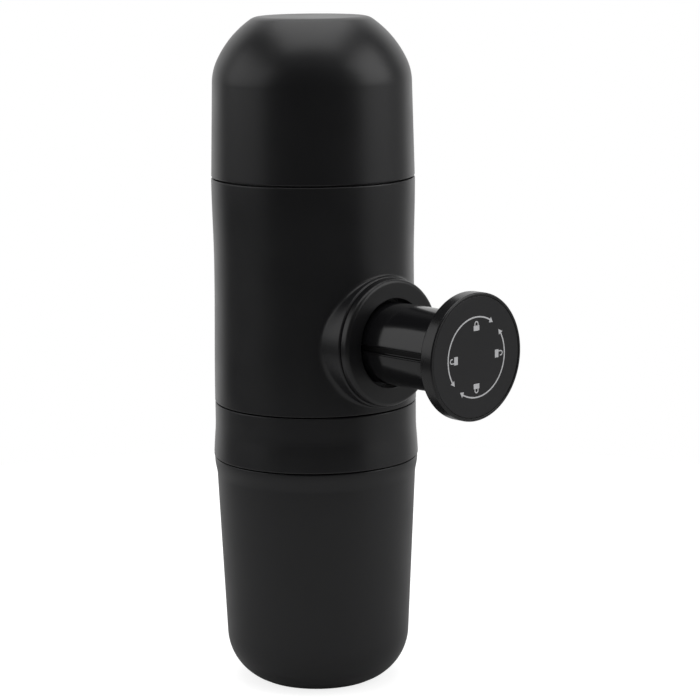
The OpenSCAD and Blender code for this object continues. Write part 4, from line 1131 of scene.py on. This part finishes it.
# %% Four threads
PITCH, RIB_W = 3.2, 1.9
for name, body, slot, material, root, crest, low, high, start in (
        ("tank_thread", "water_tank", "casing", casing_black, 27.25, 26.5,
         TANK_Z0 + 1.6, TANK_Z0 + 8.6, 0.0),
        ("neck_thread", "pump_body", "inner_black", inner_black, 25.35, 26.2,
         TANK_Z0 + 0.4, 161.4, 0.4),
        ("head_thread", "outlet_head", "casing", casing_black, 26.95, 26.15, 75.6, 84.6, 0.0),
        ("spigot_thread", "pump_body", "inner_black", inner_black, 24.95, 25.75, 75.9, 85.2,
         0.4)):
    thread = grow(thread_tree, name, material, corner=50, Root=root * MM, Crest=crest * MM,
                  Width=RIB_W * MM, Bottom=(low + 1.0) * MM, Pitch=PITCH * MM,
                  Turns=(high - low - 2.0) / PITCH, Start=start)
    dress(thread, body, None, slot)

# %% [markdown]
# ## Perforated plates
# The shower screen, the basket's floor and the fine filter on it are thin steel with
# rings of punched holes: a hole or a bore in the middle, then rings of 6, 12, 18 and
# so on, which keeps the spacing even. The tree works out the ring and the place in it
# from each point's number, sets a circle there, fills the flat between the circles and
# the rim, and gives it thickness. No boolean is needed, so every hole is clean.

# %% Plate tree: where the holes go
plate = Tree("perforated_plate", Radius=0.0225, Bore=0.0014, Hole=0.0006, Pitch=0.0019,
             First_Ring=2, Last_Ring=9, Sides=10, Thickness=0.0008, Level=0.081)


def holes_inside(ring):
    """How many holes lie inside a ring: 3 * ring * (ring - 1)."""
    return plate.calc("MULTIPLY", plate.calc("MULTIPLY", ring, 3.0),
                      plate.calc("SUBTRACT", ring, 1.0))


before = holes_inside(plate.given["First_Ring"])
total = plate.calc("SUBTRACT", holes_inside(plate.calc("ADD", plate.given["Last_Ring"], 1.0)),
                   before)
hole_index = plate.add("GeometryNodeInputIndex").outputs[0]
number = plate.calc("ADD", plate.calc("ADD", hole_index, 1.0), before)
under_root = plate.calc("ADD", 1.0, plate.calc("MULTIPLY", plate.calc("SUBTRACT", number, 0.25),
                                               4 / 3))
ring_no = plate.calc("CEIL", plate.calc("MULTIPLY", 0.5, plate.calc(
    "SUBTRACT", plate.calc("SQRT", under_root), 1.0)))
in_ring = plate.calc("SUBTRACT", number, holes_inside(ring_no))
bearing = plate.calc("MULTIPLY", plate.calc("DIVIDE", in_ring, ring_no), math.pi / 3)
reach = plate.calc("MULTIPLY", ring_no, plate.given["Pitch"])
spots = plate.add("GeometryNodePoints", Count=total, Position=plate.vector(
    plate.calc("MULTIPLY", reach, plate.calc("COSINE", bearing)),
    plate.calc("MULTIPLY", reach, plate.calc("SINE", bearing)), 0.0))
print("nodes that place the holes:", len(plate.group.nodes))

# %% Plate tree: circles filled to a flat, and the flat made thick
punch = plate.add("GeometryNodeCurvePrimitiveCircle", Resolution=plate.given["Sides"],
                  Radius=plate.given["Hole"])
punched = plate.add("GeometryNodeInstanceOnPoints", Points=spots.outputs[0],
                    Instance=punch.outputs[0])
bore = plate.add("GeometryNodeCurvePrimitiveCircle", Resolution=24, Radius=plate.given["Bore"])
edge = plate.add("GeometryNodeCurvePrimitiveCircle", Resolution=120,
                 Radius=plate.given["Radius"])
circles = plate.add("GeometryNodeRealizeInstances",
                    Geometry=plate.join(punched, bore, edge).outputs[0])
cut_out = plate.add("GeometryNodeFillCurve", Curve=circles.outputs[0])
thick = plate.add("GeometryNodeExtrudeMesh", Mesh=cut_out.outputs[0],
                  Offset_Scale=plate.given["Thickness"], Individual=False)
under = plate.add("GeometryNodeFlipFaces", Mesh=cut_out.outputs[0])
placed = plate.add("GeometryNodeTransform", Geometry=plate.join(thick, under).outputs[0],
                   Translation=plate.vector(0.0, 0.0, plate.given["Level"]))
sewn = plate.add("GeometryNodeMergeByDistance", Geometry=placed.outputs[0], Distance=1e-6)
plate_tree = plate.done(sewn.outputs[0])

# %% Shower screen and fine filter
z0, z1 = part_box("shower_screen")
shower_screen = grow(plate_tree, "shower_plate", pressed_steel, Radius=z1.x, Bore=1.4 * MM,
                     Hole=0.5 * MM, Pitch=1.9 * MM, First_Ring=2, Last_Ring=9,
                     Thickness=z1.z - z0.z, Level=z0.z)
dress(shower_screen, "pump_body", None, "steel", "shower_screen")
f0, f1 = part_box("basket_screen")
fine_filter = grow(plate_tree, "fine_filter", pressed_steel, Radius=f1.x, Bore=0.3 * MM,
                   Hole=0.3 * MM, Pitch=1.15 * MM, First_Ring=1, Last_Ring=14, Sides=6,
                   Thickness=f1.z - f0.z, Level=f0.z)
dress(fine_filter, "filter_basket", None, "steel", "basket_screen")

# %% Basket: a turned wall with a rolled rim, on a perforated floor
b0, b1 = cad("filter_basket")
BASKET_WALL, RIM_T = 0.8, 1.7
BASKET_IN = f1.x / MM + 0.1          # inside radius of the wall
BASKET_OUT = BASKET_IN + BASKET_WALL
LEDGE = BASKET_IN - 1.0              # the wall reaches this far in under the floor's edge
floor_z = f0.z / MM
basket_outline = rounded([(BASKET_IN, b1.z, 0.8), (b1.x, b1.z, 0.7), (b1.x, b1.z - RIM_T, 0.7),
                          (BASKET_OUT, b1.z - RIM_T, 0.3), (BASKET_OUT, b0.z, 1.2),
                          (LEDGE, b0.z, 0), (LEDGE, floor_z, 0), (BASKET_IN, floor_z, 0)], 7)
basket_wall = spin("basket_wall", spaced(basket_outline, 1.8), sides=180)
SINK = 0.02                          # keeps the two pieces' faces out of one plane
basket_floor = grow(plate_tree, "basket_floor", pressed_steel, Radius=(LEDGE + 0.3) * MM,
                    Bore=0.5 * MM, Hole=0.5 * MM, Pitch=1.9 * MM, First_Ring=1, Last_Ring=8,
                    Thickness=(floor_z - b0.z - 2 * SINK) * MM, Level=(b0.z + SINK) * MM)
bm = bmesh.new()
for part in (basket_wall, basket_floor):
    bm.from_mesh(part.data)
    bpy.data.objects.remove(part)
basket = object_from(bm, "coffee_basket", corner=35)
dress(basket, "filter_basket", pressed_steel, "steel", "filter_basket")

# %% [markdown]
# ## Pieces inside
# The pump, the valves and the brew head are exact in the CAD model, so each gets a
# copy of its own mesh, merged so that round faces shade smoothly, with real corners
# kept. Steel, grey and white mouldings and the seals each get the finish of their kind.

# %% Inner pieces
for node, body, material, slot in (
        ("tank_neck", "pump_body", inner_black, "inner_black"),
        ("brew_head", "pump_body", inner_black, "inner_black"),
        ("guide_bush", "pump_body", inner_black, "inner_black"),
        ("pump_housing", "pump_body", pump_grey, "pump_grey"),
        ("pump_cylinder", "pump_body", pump_grey, "pump_grey"),
        ("plunger", "piston", pump_grey, "pump_grey"),
        ("cylinder_cap", "pump_body", white_plastic, "white_plastic"),
        ("inlet_tube", "pump_body", white_plastic, "white_plastic"),
        ("inlet_valve", "pump_body", white_plastic, "white_plastic"),
        ("outlet_valve", "pump_body", white_plastic, "white_plastic"),
        ("spring_seat", "piston", white_plastic, "white_plastic"),
        ("inlet_strainer", "pump_body", pressed_steel, "steel"),
        ("lock_pins", "pump_body", turned_steel, "steel"),
        ("knob_screw", "piston", turned_steel, "steel"),
        ("thrust_washer", "piston", pressed_steel, "steel"),
        ("screen_screw", "pump_body", turned_steel, "steel"),
        ("inlet_ball", "inlet_ball", ball_steel, "ball_steel"),
        ("outlet_ball", "outlet_ball", ball_steel, "ball_steel"),
        ("tank_seal", "pump_body", seal_black, "seal_black"),
        ("shower_gasket", "pump_body", silicone, "silicone"),
        ("head_seal", "outlet_head", silicone, "silicone"),
        ("cup_ring", "outlet_head", silicone, "silicone"),
        ("plunger_seal", "piston", seal_black, "seal_black")):
    smooth_copy(node, material, slot, body)

# %% [markdown]
# ## Studio
# The object stands on a white sweep. Three soft boxes light it: a tall one to the
# left, a stronger one high on the right and one above. The sweep behind is white to the
# camera and to reflections, but what is behind the photographer is dark, as in a real
# studio, and that is why the casing's rims are bright and its middle is dark. The floor
# is grey in the object's reflections, lifted to white for the camera, and clear from
# below, so that the foot can be looked at.

# %% Floor
FLOOR_R, FLOOR_DROP = 0.32, 0.05 * MM
FLOOR_GREY, FLOOR_LIFT = 0.34, 0.80
bm = bmesh.new()
bmesh.ops.create_circle(bm, cap_ends=True, segments=96, radius=FLOOR_R)
bmesh.ops.translate(bm, verts=bm.verts, vec=(0, 0, -FLOOR_DROP))
studio_floor = object_from(bm, "studio_floor")
floor_paint = bpy.data.materials.new("floor_paint")
floor_paint.use_nodes = True
nodes, links = floor_paint.node_tree.nodes, floor_paint.node_tree.links
nodes.clear()
paint = nodes.new("ShaderNodeBsdfDiffuse")
paint.inputs["Color"].default_value = (FLOOR_GREY, FLOOR_GREY, FLOOR_GREY, 1)
lift = nodes.new("ShaderNodeEmission")
seen = nodes.new("ShaderNodeLightPath")
level = nodes.new("ShaderNodeMath")
level.operation = "MULTIPLY"
level.inputs[1].default_value = FLOOR_LIFT
lit = nodes.new("ShaderNodeAddShader")
side = nodes.new("ShaderNodeNewGeometry")
clear = nodes.new("ShaderNodeBsdfTransparent")
one_sided = nodes.new("ShaderNodeMixShader")
target = nodes.new("ShaderNodeOutputMaterial")
for start, end in ((seen.outputs["Is Camera Ray"], level.inputs[0]),
                   (level.outputs[0], lift.inputs["Strength"]),
                   (paint.outputs[0], lit.inputs[0]), (lift.outputs[0], lit.inputs[1]),
                   (side.outputs["Backfacing"], one_sided.inputs[0]),
                   (lit.outputs[0], one_sided.inputs[1]), (clear.outputs[0], one_sided.inputs[2]),
                   (one_sided.outputs[0], target.inputs["Surface"])):
    links.new(start, end)
studio_floor.data.materials.append(floor_paint)
print("floor of", 2 * FLOOR_R, "m across")

# %% Soft boxes
MIDDLE = Vector((0, 0, 110)) * MM    # what the soft boxes aim at


def soft_box(name, azimuth, elevation, distance, width, height, radiance):
    """A rectangular lamp. azimuth 0 is from the camera, positive to its right. radiance is
    how bright its face looks, where 1 is white."""
    a, e = math.radians(azimuth), math.radians(elevation)
    light = bpy.data.lights.new(name, "AREA")
    light.shape = "RECTANGLE"
    light.size, light.size_y = width, height
    light.energy = radiance * math.pi * width * height
    lamp = bpy.data.objects.new(name, light)
    bpy.context.collection.objects.link(lamp)
    reach = distance / MM
    lamp.location = MIDDLE + studio(reach * math.sin(a) * math.cos(e),
                                    -reach * math.cos(a) * math.cos(e), reach * math.sin(e))
    lamp.rotation_euler = (MIDDLE - lamp.location).to_track_quat("-Z", "Y").to_euler()
    print(name, round(light.energy, 2), "W")


soft_box("left_box", -84, 21, 1.3, 1.40, 1.0, 1.0)
soft_box("right_box", 80, 27, 1.3, 1.00, 1.10, 1.75)
soft_box("right_card", 88, -6, 1.3, 1.60, 0.60, 0.30)
soft_box("top_box", 180, 84, 1.0, 0.95, 1.05, 1.9)

# %% World: white ahead of the camera, dark behind it
FILL = 0.75                          # even light for what isn't a reflection
world = bpy.data.worlds.new("studio_world")
bpy.context.scene.world = world
world.use_nodes = True
nodes, links = world.node_tree.nodes, world.node_tree.links
nodes.clear()
ray = nodes.new("ShaderNodeLightPath")
where = nodes.new("ShaderNodeTexCoord")
facing = nodes.new("ShaderNodeVectorMath")
facing.operation = "DOT_PRODUCT"
facing.inputs[1].default_value = studio_direction((0, 1, 0))
sweep = nodes.new("ShaderNodeMapRange")
sweep.interpolation_type = "SMOOTHSTEP"
for label, value in (("From Min", 0.42), ("From Max", 0.85), ("To Min", 0.02), ("To Max", 0.95)):
    sweep.inputs[label].default_value = value
fill, shown = (nodes.new("ShaderNodeMix") for _ in range(2))
fill.inputs[2].default_value = FILL
shown.inputs[3].default_value = 1.0
direct = nodes.new("ShaderNodeMath")
direct.operation = "MAXIMUM"
back = nodes.new("ShaderNodeBackground")
back.inputs["Color"].default_value = (1, 1, 1, 1)
target = nodes.new("ShaderNodeOutputWorld")
for start, end in ((where.outputs["Generated"], facing.inputs[0]),
                   (facing.outputs["Value"], sweep.inputs["Value"]),
                   (ray.outputs["Is Glossy Ray"], fill.inputs[0]),
                   (sweep.outputs["Result"], fill.inputs[3]),
                   (ray.outputs["Is Camera Ray"], direct.inputs[0]),
                   (ray.outputs["Is Transmission Ray"], direct.inputs[1]),
                   (direct.outputs[0], shown.inputs[0]), (fill.outputs[0], shown.inputs[2]),
                   (shown.outputs[0], back.inputs["Strength"]),
                   (back.outputs[0], target.inputs["Surface"])):
    links.new(start, end)
print("world of", len(nodes), "nodes")
bpy.context.scene.view_settings.view_transform = "Standard"
